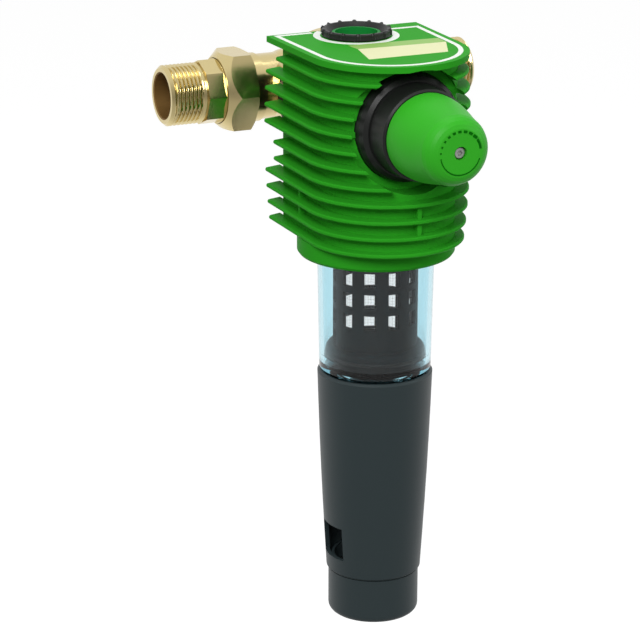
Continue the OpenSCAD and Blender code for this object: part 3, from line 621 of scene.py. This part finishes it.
@dataclass
class TopPlate:
    """Printed bands on the top plate, and a lining of painted shade in the well inside the reminder ring.

    Attributes:
        front_centre: Distance in front of the filter axis of the round front's centre.
        front_r: Radius of the plate's round front.
        back_w: Half the plate's width at its back.
        back: Distance from the filter axis to the plate's back edge.
        lip_h: Height of the ring's lip above the plate.
        inset: From the plate's edge to the white band.
        band_w: Width of the white band.
        back_left: Distance behind the filter axis of the band's back line, left of the ring.
        back_right: The same, right of the ring.
        dial_back: Distance behind the filter axis of the ring's centre.
        dial_r: Inner radius of the white border round the ring.
        dial_band_w: Width of that border.
        edge_room: From its ends to the plate's back edge.
        well_r: Radius of the well inside the ring.
        well_depth: Depth of its floor below the plate.
        lip_r: Outer radius of the painted-shade lining on the lip.
        proud: Height of the print above the plate.
        dial_proud: Height of the border round the ring, as a share of that.
        cream_corners: Corners of the cream band about the filter axis in millimetres, two of each end.
        pale_corners: The same for the pale green band.
        front_steps: Steps along the round front.
        dial_steps: Steps along the border round the ring.
        well_segments: Points round the well.
    """

    front_centre: float = 11.8 * MM
    front_r: float = 43.0 * MM
    back_w: float = 44.4 * MM
    back: float = 44.3 * MM
    lip_h: float = 2.0 * MM
    inset: float = 3.4 * MM
    band_w: float = 2.6 * MM
    back_left: float = 42.5 * MM
    back_right: float = 34.5 * MM
    dial_back: float = 26.3 * MM
    dial_r: float = 19.4 * MM
    dial_band_w: float = 3.7 * MM
    edge_room: float = 0.4 * MM
    well_r: float = 11.5 * MM
    well_depth: float = 3.2 * MM
    lip_r: float = 12.9 * MM
    proud: float = 0.12 * MM
    dial_proud: float = 0.8
    cream_corners: Corners = ((-14.0, -5.5), (-19.0, -29.5), (26.5, -29.5), (36.2, -8.0))
    pale_corners: Corners = ((-15.0, 4.5), (-14.0, -5.4), (36.2, -7.9), (36.8, 2.5))
    front_steps: int = 48
    dial_steps: int = 72
    well_segments: int = 96

    def height(self) -> float:
        """Return the height of the plate's top face."""
        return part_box("finned_shell")[1].z - self.lip_h

    def outline(self, inset: float) -> Line:
        """Walk round the band from the ring's left side by the front to its right side.

        Args:
            inset: Distance inside the plate's edge.

        Returns:
            Points in plan.
        """
        axis = -PIPE_OFFSET
        r = self.front_r - inset
        side = self.back_w - inset
        deeper = inset - self.inset
        left_y = axis + self.back_left - deeper
        right_y = axis + self.back_right - deeper
        points = [Vector((-self.dial_r, left_y)), Vector((-side, left_y))]
        arc = [math.pi + math.pi * k / self.front_steps for k in range(self.front_steps + 1)]
        points += [Vector((r * math.cos(a), axis - self.front_centre + r * math.sin(a))) for a in arc]
        points += [Vector((side, right_y)), Vector((self.dial_r, right_y))]
        return points

    def dial_arc(self, radius: float) -> Line:
        """Return the points of the border round the ring, which ends at the plate's back edge.

        Args:
            radius: Radius of the line of points.

        Returns:
            Points in plan.
        """
        centre = Vector((0.0, self.dial_back - PIPE_OFFSET))
        room = self.back - self.edge_room - self.dial_back
        past = math.asin(room / (self.dial_r + self.dial_band_w))
        step = (math.pi + 2 * past) / self.dial_steps
        turns = [math.pi - past + step * k for k in range(self.dial_steps + 1)]
        return [centre + radius * Vector((math.cos(a), math.sin(a))) for a in turns]

    def well_shade_lining(self) -> None:
        """Line the wall of the well inside the ring, and the top of its lip, with a darker green that paints
        the well's shade.
        """
        z = self.height()
        low = z - self.well_depth
        top = z + self.lip_h + self.proud
        rings = [(low, self.well_r - self.proud), (top, self.well_r - self.proud), (top, self.lip_r),
                 (top - 2 * self.proud, self.lip_r), (low, self.well_r + self.proud)]
        mesh = ring_mesh("well_shade_lining", rings, self.well_segments)
        mesh.transform(Matrix.Translation((0.0, self.dial_back - PIPE_OFFSET, 0.0)) @ UPRIGHT)
        # The darker green over the well's wall and lip paints the shade inside the well
        place_piece(mesh, "well_shade_lining", WELL_SHADE_GREEN, Body.FIXED, Slot.GREEN)

    def lay(self, name: str, inner: Line, outer: Line, finish: Finish, share: float = 1.0) -> None:
        """Lay a printed strip on the plate.

        Args:
            name: The piece's name.
            inner: Points of one side of the strip.
            outer: Points of its other side.
            finish: Its finish.
            share: Its height as a share of the print's.
        """
        z = self.height()
        mesh = flat_strip(name, inner, outer, z - self.proud, z + share * self.proud)
        place_piece(mesh, name, finish, Body.FIXED, Slot.GREEN)

    def build(self) -> None:
        """Lay the white borders and the two four-cornered bands, and line the well with painted shade."""
        inner = self.outline(self.inset + self.band_w)
        self.lay("plate_border", self.outline(self.inset), inner, WHITE_PRINT)
        outer = self.dial_arc(self.dial_r + self.dial_band_w)
        self.lay("dial_border", self.dial_arc(self.dial_r), outer, WHITE_PRINT, self.dial_proud)
        for name, corners, finish in (("cream_band", self.cream_corners, CREAM_PRINT),
                                      ("pale_band", self.pale_corners, PALE_GREEN_PRINT)):
            points = [Vector((x * MM, y * MM - PIPE_OFFSET)) for x, y in corners]
            self.lay(name, [points[0], points[3]], [points[1], points[2]], finish)
        self.well_shade_lining()


@dataclass
class ReminderRing:
    """The turning ring on the top plate: a thin rim with nubs, and a funnel inside it.

    Attributes:
        wall_r: Radius of its outer wall between the nubs.
        bore_r: Radius of its bore.
        nubs: Number of nubs.
        nub_turn: Turn of one nub from the back.
        nub_out: How far a nub stands out.
        nub_up: How far a nub stands up above the rim.
        nub_from: Cosine, over a nub's share of the turn, at which the nub starts.
        nub_ramp: Its ramp in the same measure.
        nub_foot: Height at which the nubs start.
        edge: Rounding of its edges.
        rim_w: Width of the rim.
        funnel: Height of the funnel's lower edge, as a share of the ring's height.
        segments: Points round the ring.
    """

    wall_r: float = 18.6 * MM
    bore_r: float = 13.05 * MM
    nubs: int = 14
    nub_turn: float = math.radians(4)
    nub_out: float = 0.7 * MM
    nub_up: float = 0.6 * MM
    nub_from: float = 0.6
    nub_ramp: float = 0.3
    nub_foot: float = 1.0 * MM
    edge: float = 0.6 * MM
    rim_w: float = 1.9 * MM
    funnel: float = 0.3
    segments: int = 256

    def rise(self, turn: float) -> float:
        """Return how much of a nub there is at a turn, from 0 to 1."""
        wave = math.cos(self.nubs * (turn - self.nub_turn))
        return min(1.0, max(0.0, (wave - self.nub_from) / self.nub_ramp))

    def nub_wall(self, inset: float) -> Radius:
        """Make the radius function of the wall with nubs.

        Args:
            inset: How far inside that wall.

        Returns:
            The radius as a function of the turn.
        """
        return lambda turn: self.wall_r - inset + self.nub_out * self.rise(turn)

    def build(self) -> None:
        """Build the ring in place of the plain one."""
        low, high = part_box("reminder_ring")
        middle = (low + high) / 2
        height = high.z - low.z - self.nub_up / 2
        rim = self.wall_r - self.rim_w
        rings = [(0.0, self.bore_r), (0.0, self.wall_r - self.edge), (self.edge, self.wall_r),
                 (self.nub_foot, self.wall_r), (self.nub_foot, self.nub_wall(0.0)),
                 (height - self.edge, self.nub_wall(0.0)), (height, self.nub_wall(self.edge)),
                 (height, rim), (height - self.edge, rim - self.edge),
                 (height * self.funnel, self.bore_r + self.edge)]
        mesh = ring_mesh("ring_with_nubs", rings, self.segments)
        # Raise the nubs above the rim
        for vertex in mesh.vertices:
            out = math.hypot(vertex.co.y, vertex.co.z)
            if vertex.co.x > height - self.edge / 2 and out > rim + self.edge / 2:
                vertex.co.x += self.nub_up * self.rise(math.atan2(vertex.co.z, vertex.co.y))
        mesh.transform(Matrix.Translation((middle.x, middle.y, low.z)) @ UPRIGHT)
        piece = place_piece(mesh, "ring_with_nubs", BLACK, Body.RING, Slot.BLACK)
        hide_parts("reminder_ring")


@dataclass
class KnobScale:
    """Marks on the knob's face: a row of dashes that grow to the right, and a thin line below.

    Attributes:
        radius: Radius of the scale.
        mark: Side length of a mark before it is scaled.
        count: Number of marks.
        start: Turn of the largest mark, from the right, anticlockwise seen from the front.
        sweep: Turn from the largest mark to the smallest.
        small: Scale of the smallest mark.
        wider: How much wider each mark is than the one before it.
        longer: How much longer it is.
        bar_start: Turn where the bar after the largest mark ends.
        bar_sweep: Turn that it spans.
        bar_r: Half its width.
        line_start: Turn where the thin line starts.
        line_sweep: Turn that it spans.
        line_r: Half its width.
        flatness: Height of the marks as a share of their width.
        arc_points: Points along the bar and the line.
        section_points: Points round them.
    """

    radius: float = 11.2 * MM
    mark: float = 1.0 * MM
    count: int = 10
    start: float = math.radians(45)
    sweep: float = math.radians(146)
    small: float = 0.65
    wider: float = 0.1
    longer: float = 0.185
    bar_start: float = math.radians(8)
    bar_sweep: float = math.radians(27)
    bar_r: float = 0.7 * MM
    line_start: float = math.radians(194)
    line_sweep: float = math.radians(148)
    line_r: float = 0.32 * MM
    flatness: float = 0.3
    arc_points: int = 40
    section_points: int = 8

    def face(self) -> Matrix:
        """Return the place of the knob's face: its X to the right, its Y up and its Z to the front."""
        low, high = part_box("adjusting_knob")
        middle = (low + high) / 2
        front = Matrix.Rotation(math.pi / 2, 4, "X")
        return Matrix.Translation((middle.x, low.y, middle.z)) @ front

    def growth(self, tree: GeometryTree, step: float) -> Node:
        """Add nodes for a scale that grows by a step from mark to mark.

        Args:
            tree: The tree.
            step: How much the scale grows.

        Returns:
            The node that gives the scale.
        """
        index = tree.node("GeometryNodeInputIndex")
        grow = tree.node("ShaderNodeMath")
        grow.operation = "MULTIPLY_ADD"
        tree.tree.links.new(index.outputs["Index"], grow.inputs[0])
        grow.inputs[1].default_value = -step
        grow.inputs[2].default_value = self.small + step * (self.count - 1)
        return grow

    def arc(self, tree: GeometryTree, label: str) -> Node:
        """Add nodes for a round line along the scale.

        Args:
            tree: The tree, with the inputs "LABEL radius", "LABEL start" and "LABEL sweep".
            label: The line's name in the tree.

        Returns:
            The node that gives its mesh.
        """
        path = tree.node("GeometryNodeCurveArc", Resolution=self.arc_points, Radius="Radius",
                         Start_Angle=label + " start", Sweep_Angle=label + " sweep")
        section = tree.node("GeometryNodeCurvePrimitiveCircle", Resolution=self.section_points,
                            Radius=label + " radius")
        return tree.node("GeometryNodeCurveToMesh", Curve=path, Profile_Curve=section, Fill_Caps=True)

    def build(self) -> None:
        """Build the marks as one piece."""
        tree = GeometryTree("Knob scale", {
            "Radius": self.radius, "Marks": self.count, "Start": self.start, "Sweep": self.sweep,
            "Bar radius": self.bar_r, "Bar start": self.bar_start, "Bar sweep": self.bar_sweep,
            "Line radius": self.line_r, "Line start": self.line_start, "Line sweep": self.line_sweep})
        row = tree.node("GeometryNodeCurveArc", Resolution="Marks", Radius="Radius", Start_Angle="Start",
                        Sweep_Angle="Sweep")
        points = tree.node("GeometryNodeCurveToPoints", Curve=row)
        points.mode = "EVALUATED"
        width = self.growth(tree, self.wider)
        scale = tree.node("ShaderNodeCombineXYZ", X=width, Y=width, Z=self.growth(tree, self.longer))
        block = tree.node("GeometryNodeMeshCube", Size=(self.mark, self.mark, self.mark))
        marks = tree.node("GeometryNodeInstanceOnPoints", Points=points, Instance=block,
                          Rotation=points.outputs["Rotation"], Scale=scale)
        real = tree.node("GeometryNodeRealizeInstances", Geometry=marks)
        flat = [tree.node("GeometryNodeTransform", Geometry=part, Scale=(1.0, 1.0, self.flatness))
                for part in (real, self.arc(tree, "Bar"), self.arc(tree, "Line"))]
        tree.finish(flat, DARK_PRINT)
        mesh = tree.mesh("knob_scale", self.face())
        place_piece(mesh, "knob_scale", DARK_PRINT, Body.KNOB, Slot.KNOB)


@dataclass
class StrainerCage:
    """The cage round the sleeve, with a lowest row of windows at its back.

    Attributes:
        cage_r: Outer radius of the cage.
        columns: Windows in a row.
        turn: Turn of the first window.
        window_w: Width of a window.
        window_h: Height of a window.
        land: From the cage's lower end to the lowest windows.
        merge: Points closer than this become one.
    """

    cage_r: float = 23.0 * MM
    columns: int = 11
    turn: float = math.radians(8)
    window_w: float = 6.4 * MM
    window_h: float = 8.2 * MM
    land: float = 0.8 * MM
    merge: float = 0.001 * MM

    def build(self) -> None:
        """Cut the lowest row into a copy of the cage, which stands for the node."""
        low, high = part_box("strainer_cage")
        middle = (low + high) / 2
        tree = GeometryTree("Cage windows", {
            "Columns": self.columns, "Radius": self.cage_r, "Width": self.window_w, "Height": self.window_h})
        size = tree.node("ShaderNodeCombineXYZ", X="Radius", Y="Width", Z="Height")
        window = tree.node("GeometryNodeMeshCube", Size=size)
        row = tree.node("GeometryNodeMeshCircle", Vertices="Columns", Radius="Radius")
        spot = tree.node("GeometryNodeInputPosition")
        outwards = tree.node("FunctionNodeAlignRotationToVector", Vector=spot)
        outwards.axis = "X"
        # A place behind the axis has a Y above zero, which selects it
        parts = tree.node("ShaderNodeSeparateXYZ", Vector=spot)
        cutters = tree.node("GeometryNodeInstanceOnPoints", Points=row, Selection=parts.outputs["Y"],
                            Instance=window, Rotation=outwards)
        place = tree.node("GeometryNodeTransform", Geometry=cutters,
                          Translation=(middle.x, middle.y, low.z + self.land + self.window_h / 2),
                          Rotation=(0.0, 0.0, self.turn))
        solid = tree.node("GeometryNodeRealizeInstances", Geometry=place)
        cut = tree.node("GeometryNodeMeshBoolean")
        cut.operation = "DIFFERENCE"
        feed(cut, Mesh_1=tree.start.outputs["Base"], Mesh_2=solid)
        tree.finish([cut], STRAINER)
        start = bpy.data.meshes.new("cage_start")
        build = bmesh.new()
        build.from_mesh(frame["nodes"]["strainer_cage"].data)
        bmesh.ops.remove_doubles(build, verts=build.verts, dist=self.merge)
        build.to_mesh(start)
        mesh = tree.mesh("windowed_cage", Matrix(), start)
        build.clear()
        build.from_mesh(mesh)
        shade(build, SHARP)
        build.to_mesh(mesh)
        build.free()
        piece = place_piece(mesh, "windowed_cage", STRAINER, Body.FIXED, Slot.BLACK)
        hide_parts("strainer_cage")


@dataclass
class StrainerSleeve:
    """The woven sleeve behind the cage's windows.

    Attributes:
        wire: Wire diameter.
        spacing: Distance between wires.
        inset: From the sleeve's outside to the wires.
        wire_points: Points round a wire.
        hoop_points: Points along a hoop.
    """

    wire: float = 0.08 * MM
    spacing: float = 1.6 * MM
    inset: float = 0.4 * MM
    wire_points: int = 4
    hoop_points: int = 72

    def wires(self, tree: GeometryTree, points: Node, line: Node) -> Node:
        """Add nodes that sweep a wire along a line on every point.

        Args:
            tree: The tree, with the input "Wire radius".
            points: The node with the points.
            line: The node with the line.

        Returns:
            The node that gives the wires.
        """
        wire = tree.node("GeometryNodeCurvePrimitiveCircle", Resolution=self.wire_points,
                         Radius="Wire radius")
        lines = tree.node("GeometryNodeInstanceOnPoints", Points=points, Instance=line)
        real = tree.node("GeometryNodeRealizeInstances", Geometry=lines)
        return tree.node("GeometryNodeCurveToMesh", Curve=real, Profile_Curve=wire)

    def build(self) -> None:
        """Build hoops and staves of wire in place of the plain sleeve."""
        low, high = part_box("strainer_mesh")
        centre = (low + high) / 2
        radius = (high.x - low.x) / 2 - self.inset
        height = high.z - low.z
        hoops = round(height / self.spacing)
        staves = round(2 * math.pi * radius / self.spacing)
        tree = GeometryTree("Strainer wires", {
            "Radius": radius, "Height": height, "Hoops": hoops, "Staves": staves,
            "Wire radius": self.wire / 2, "Step": height / (hoops - 1)})
        step = tree.node("ShaderNodeCombineXYZ", Z="Step")
        levels = tree.node("GeometryNodeMeshLine", Count="Hoops", Offset=step)
        hoop = tree.node("GeometryNodeCurvePrimitiveCircle", Resolution=self.hoop_points, Radius="Radius")
        posts = tree.node("GeometryNodeMeshCircle", Vertices="Staves", Radius="Radius")
        top = tree.node("ShaderNodeCombineXYZ", Z="Height")
        stave = tree.node("GeometryNodeCurvePrimitiveLine", End=top)
        tree.finish([self.wires(tree, levels, hoop), self.wires(tree, posts, stave)], STEEL)
        mesh = tree.mesh("strainer_wires", Matrix.Translation((centre.x, centre.y, low.z)))
        piece = place_piece(mesh, "strainer_wires", STEEL, Body.FIXED, Slot.STEEL)
        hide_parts("strainer_mesh")


def dress_frame() -> None:
    """Give each node of the frame its own finish, or that of its slot."""
    for part in frame["record"]["subparts"]:
        node = frame["nodes"][part["node"]]
        finish = OWN_FINISH.get(part["node"], NODE_FINISH[Slot(part["material_slot"])])
        node.data.materials.clear()
        node.data.materials.append(finish.material())
        LOG.info("node %s: %s", part["node"], finish.name)


# Camera, light and stage

@dataclass
class Camera:
    """The photograph's camera, placed about the filter axis.

    Attributes:
        turn: Turn of the camera about the filter axis, from the front, in degrees.
        distance: Level distance from the filter axis.
        height: Height above the drain spigot's lower end.
        aim_height: Height on the filter axis that the view is level with.
        yaw: Turn of the view away from the filter axis, in degrees.
        roll: Turn of the picture about its middle, in degrees.
        lens: Focal length in millimetres.
        sensor: Sensor width in millimetres.
        near: Nearest distance that it sees.
        far: Farthest distance that it sees.
    """

    turn: float = -25.774
    distance: float = 1.40124
    height: float = 0.62798
    aim_height: float = 0.16892
    yaw: float = 1.2254
    roll: float = 0.12
    lens: float = 152.815
    sensor: float = 36.0
    near: float = 0.05
    far: float = 50.0

    def build(self) -> None:
        """Make the camera and set it as the scene's own."""
        turn, yaw, roll = (math.radians(angle) for angle in (self.turn, self.yaw, self.roll))
        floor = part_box("drain_spigot")[0].z
        flat = Vector((-math.sin(turn), math.cos(turn), 0.0))
        side = Vector((math.cos(turn), math.sin(turn), 0.0))
        spot = Vector((0.0, -PIPE_OFFSET, floor + self.height)) - flat * self.distance
        ahead = flat * math.cos(yaw) - side * math.sin(yaw)
        forward = (ahead * self.distance + Vector((0.0, 0.0, self.aim_height - self.height))).normalized()
        right = forward.cross(Vector((0.0, 0.0, 1.0))).normalized()
        up = right.cross(forward)
        right, up = right * math.cos(roll) + up * math.sin(roll), up * math.cos(roll) - right * math.sin(roll)
        data = bpy.data.cameras.new("view")
        data.sensor_width = self.sensor
        data.lens = self.lens
        data.clip_start = self.near
        data.clip_end = self.far
        eye = add_object("view", data)
        turned = Matrix((right, up, -forward)).transposed().to_4x4()
        eye.matrix_world = Matrix.Translation(spot) @ turned
        bpy.context.scene.camera = eye


@dataclass(frozen=True)
class Lamp:
    """A soft area lamp that looks at the filter.

    Attributes:
        name: The lamp's name.
        place: Where it stands.
        size: Its side length.
        power: Its power in watts.
    """

    name: str
    place: tuple[float, float, float]
    size: float
    power: float

    def build(self, target: Vector) -> None:
        """Make the lamp.

        Args:
            target: The point it looks at.
        """
        data = bpy.data.lights.new(self.name, "AREA")
        data.shape = "SQUARE"
        data.size = self.size
        data.energy = self.power
        lamp = add_object(self.name, data)
        lamp.location = self.place
        lamp.rotation_euler = (target - Vector(self.place)).to_track_quat("-Z", "Y").to_euler()


@dataclass
class Studio:
    """White surroundings, pale floor and soft lamps.

    Attributes:
        ambient: Strength of the light from all round.
        floor_drop: Distance from the filter's lower end to the floor.
        floor_size: Side length of the floor.
        floor_glow: Share of white that the floor shows by itself.
        floor_tone: How pale the floor is where light falls on it.
        floor_rough: Roughness of the floor.
        dim_side: Direction of the dim part of the room.
        dim_from: Where the room starts to dim, as a cosine from that direction.
        dim_full: Where it is dimmest.
        dim_level: How bright it is there.
        lamps: The lamps.
    """

    ambient: float = 0.38
    floor_drop: float = 0.35
    floor_size: float = 12.0
    floor_glow: float = 0.86
    floor_tone: float = 0.3
    floor_rough: float = 0.9
    dim_side: tuple[float, float, float] = (-0.25, -0.85, -0.35)
    dim_from: float = -0.25
    dim_full: float = 0.75
    dim_level: float = 0.30
    lamps: tuple[Lamp, ...] = (
        Lamp("key", (-1.0, -1.4, 1.2), 0.9, 30.0),
        Lamp("fill", (1.5, -1.0, 0.5), 0.9, 7.0),
        Lamp("top", (0.1, 0.1, 1.7), 0.8, 8.0),
    )

    def seen_directly(self, tree: NodeTree) -> NodeSocket:
        """Add nodes that are 1 for camera, glossy and transmission rays.

        Args:
            tree: The material's or world's tree.

        Returns:
            The output socket of the test.
        """
        path = add_node(tree, "ShaderNodeLightPath")
        seen = path.outputs["Is Camera Ray"]
        for ray in ("Is Glossy Ray", "Is Transmission Ray"):
            either = add_node(tree, "ShaderNodeMath")
            either.operation = "MAXIMUM"
            tree.links.new(seen, either.inputs[0])
            tree.links.new(path.outputs[ray], either.inputs[1])
            seen = either.outputs[0]
        return seen

    def show(self, tree: NodeTree, seen: Node, lit: Node, output: str) -> None:
        """Give one shader to camera, glossy and transmission rays and another to the rest.

        Args:
            tree: The material's or world's tree.
            seen: The first shader.
            lit: The other.
            output: Name of the tree's output node.
        """
        mix = add_node(tree, "ShaderNodeMixShader", Fac=self.seen_directly(tree))
        tree.links.new(lit.outputs[0], mix.inputs[1])
        tree.links.new(seen.outputs[0], mix.inputs[2])
        feed(tree.nodes[output], Surface=mix)

    def room_group(self) -> NodeTree:
        """Build the group that says how bright the room is in a direction from the filter, once.

        Returns:
            The node group, with the input Direction and the output Level.
        """
        name = "Room level"
        if name in bpy.data.node_groups:
            return bpy.data.node_groups[name]
        tree = bpy.data.node_groups.new(name, "ShaderNodeTree")
        tree.interface.new_socket("Direction", in_out="INPUT", socket_type="NodeSocketVector")
        tree.interface.new_socket("Level", in_out="OUTPUT", socket_type="NodeSocketFloat")
        inside = add_node(tree, "NodeGroupInput")
        unit = add_node(tree, "ShaderNodeVectorMath")
        unit.operation = "NORMALIZE"
        facing = add_node(tree, "ShaderNodeVectorMath")
        facing.operation = "DOT_PRODUCT"
        facing.inputs[1].default_value = self.dim_side
        tree.links.new(inside.outputs["Direction"], unit.inputs[0])
        tree.links.new(unit.outputs["Vector"], facing.inputs[0])
        dim = add_node(tree, "ShaderNodeMapRange", Value=facing.outputs["Value"], From_Min=self.dim_from,
                       From_Max=self.dim_full, To_Min=1.0, To_Max=self.dim_level)
        dim.interpolation_type = "SMOOTHSTEP"
        add_node(tree, "NodeGroupOutput", Level=dim)
        return tree

    def room(self, tree: NodeTree, coordinates: str) -> Node:
        """Add nodes for a white that gloss sees as a room with a dim front.

        Args:
            tree: The material's or world's tree.
            coordinates: The texture coordinates that give the direction from the filter.

        Returns:
            The node that gives the level.
        """
        place = add_node(tree, "ShaderNodeTexCoord")
        level = add_node(tree, "ShaderNodeGroup")
        level.node_tree = self.room_group()
        feed(level, Direction=place.outputs[coordinates])
        path = add_node(tree, "ShaderNodeLightPath")
        pick = add_node(tree, "ShaderNodeMix")
        pick.data_type = "FLOAT"
        return feed(pick, Factor=path.outputs["Is Glossy Ray"], A=1.0, B=level)

    def world(self) -> None:
        """Make the surroundings: white where seen, softer as light."""
        made = bpy.data.worlds.new("studio")
        bpy.context.scene.world = made
        made.use_nodes = True
        tree = made.node_tree
        light = feed(tree.nodes["Background"], Color=WHITE, Strength=self.ambient)
        white = add_node(tree, "ShaderNodeBackground", Color=self.room(tree, "Generated"))
        self.show(tree, white, light, "World Output")

    def floor(self) -> None:
        """Lay the pale floor under the filter."""
        low = CAD_BOX[0]
        half = self.floor_size / 2
        z = low[2] - self.floor_drop
        mesh = bpy.data.meshes.new("floor")
        corners = [(-half, -half, z), (half, -half, z), (half, half, z), (-half, half, z)]
        mesh.from_pydata(corners, [], [(0, 1, 2, 3)])
        ground = add_object("floor", mesh)
        made = bpy.data.materials.new("pale floor")
        made.use_nodes = True
        tree = made.node_tree
        tone = (self.floor_tone, self.floor_tone, self.floor_tone, 1.0)
        shader = feed(tree.nodes["Principled BSDF"], Base_Color=tone, Roughness=self.floor_rough,
                      Specular_IOR_Level=0.0)
        glow = add_node(tree, "ShaderNodeEmission", Color=self.room(tree, "Object"), Strength=self.floor_glow)
        both = add_node(tree, "ShaderNodeAddShader")
        tree.links.new(glow.outputs[0], both.inputs[0])
        tree.links.new(shader.outputs[0], both.inputs[1])
        self.show(tree, both, shader, "Material Output")
        mesh.materials.append(made)

    def build(self) -> None:
        """Make surroundings, floor and lamps."""
        bpy.context.scene.view_settings.view_transform = "Standard"
        self.world()
        self.floor()
        low, high = (Vector(corner) for corner in CAD_BOX)
        target = (low + high) / 2
        for lamp in self.lamps:
            lamp.build(target)


def main() -> None:
    """Dress the frame and build every added piece, then the stage."""
    logging.basicConfig(level=logging.INFO, format="%(message)s")
    dress_frame()
    Connection().build()
    TopPlate().build()
    ReminderRing().build()
    KnobScale().build()
    StrainerCage().build()
    StrainerSleeve().build()
    Studio().build()
    Camera().build()


if __name__ == "__main__":
    main()
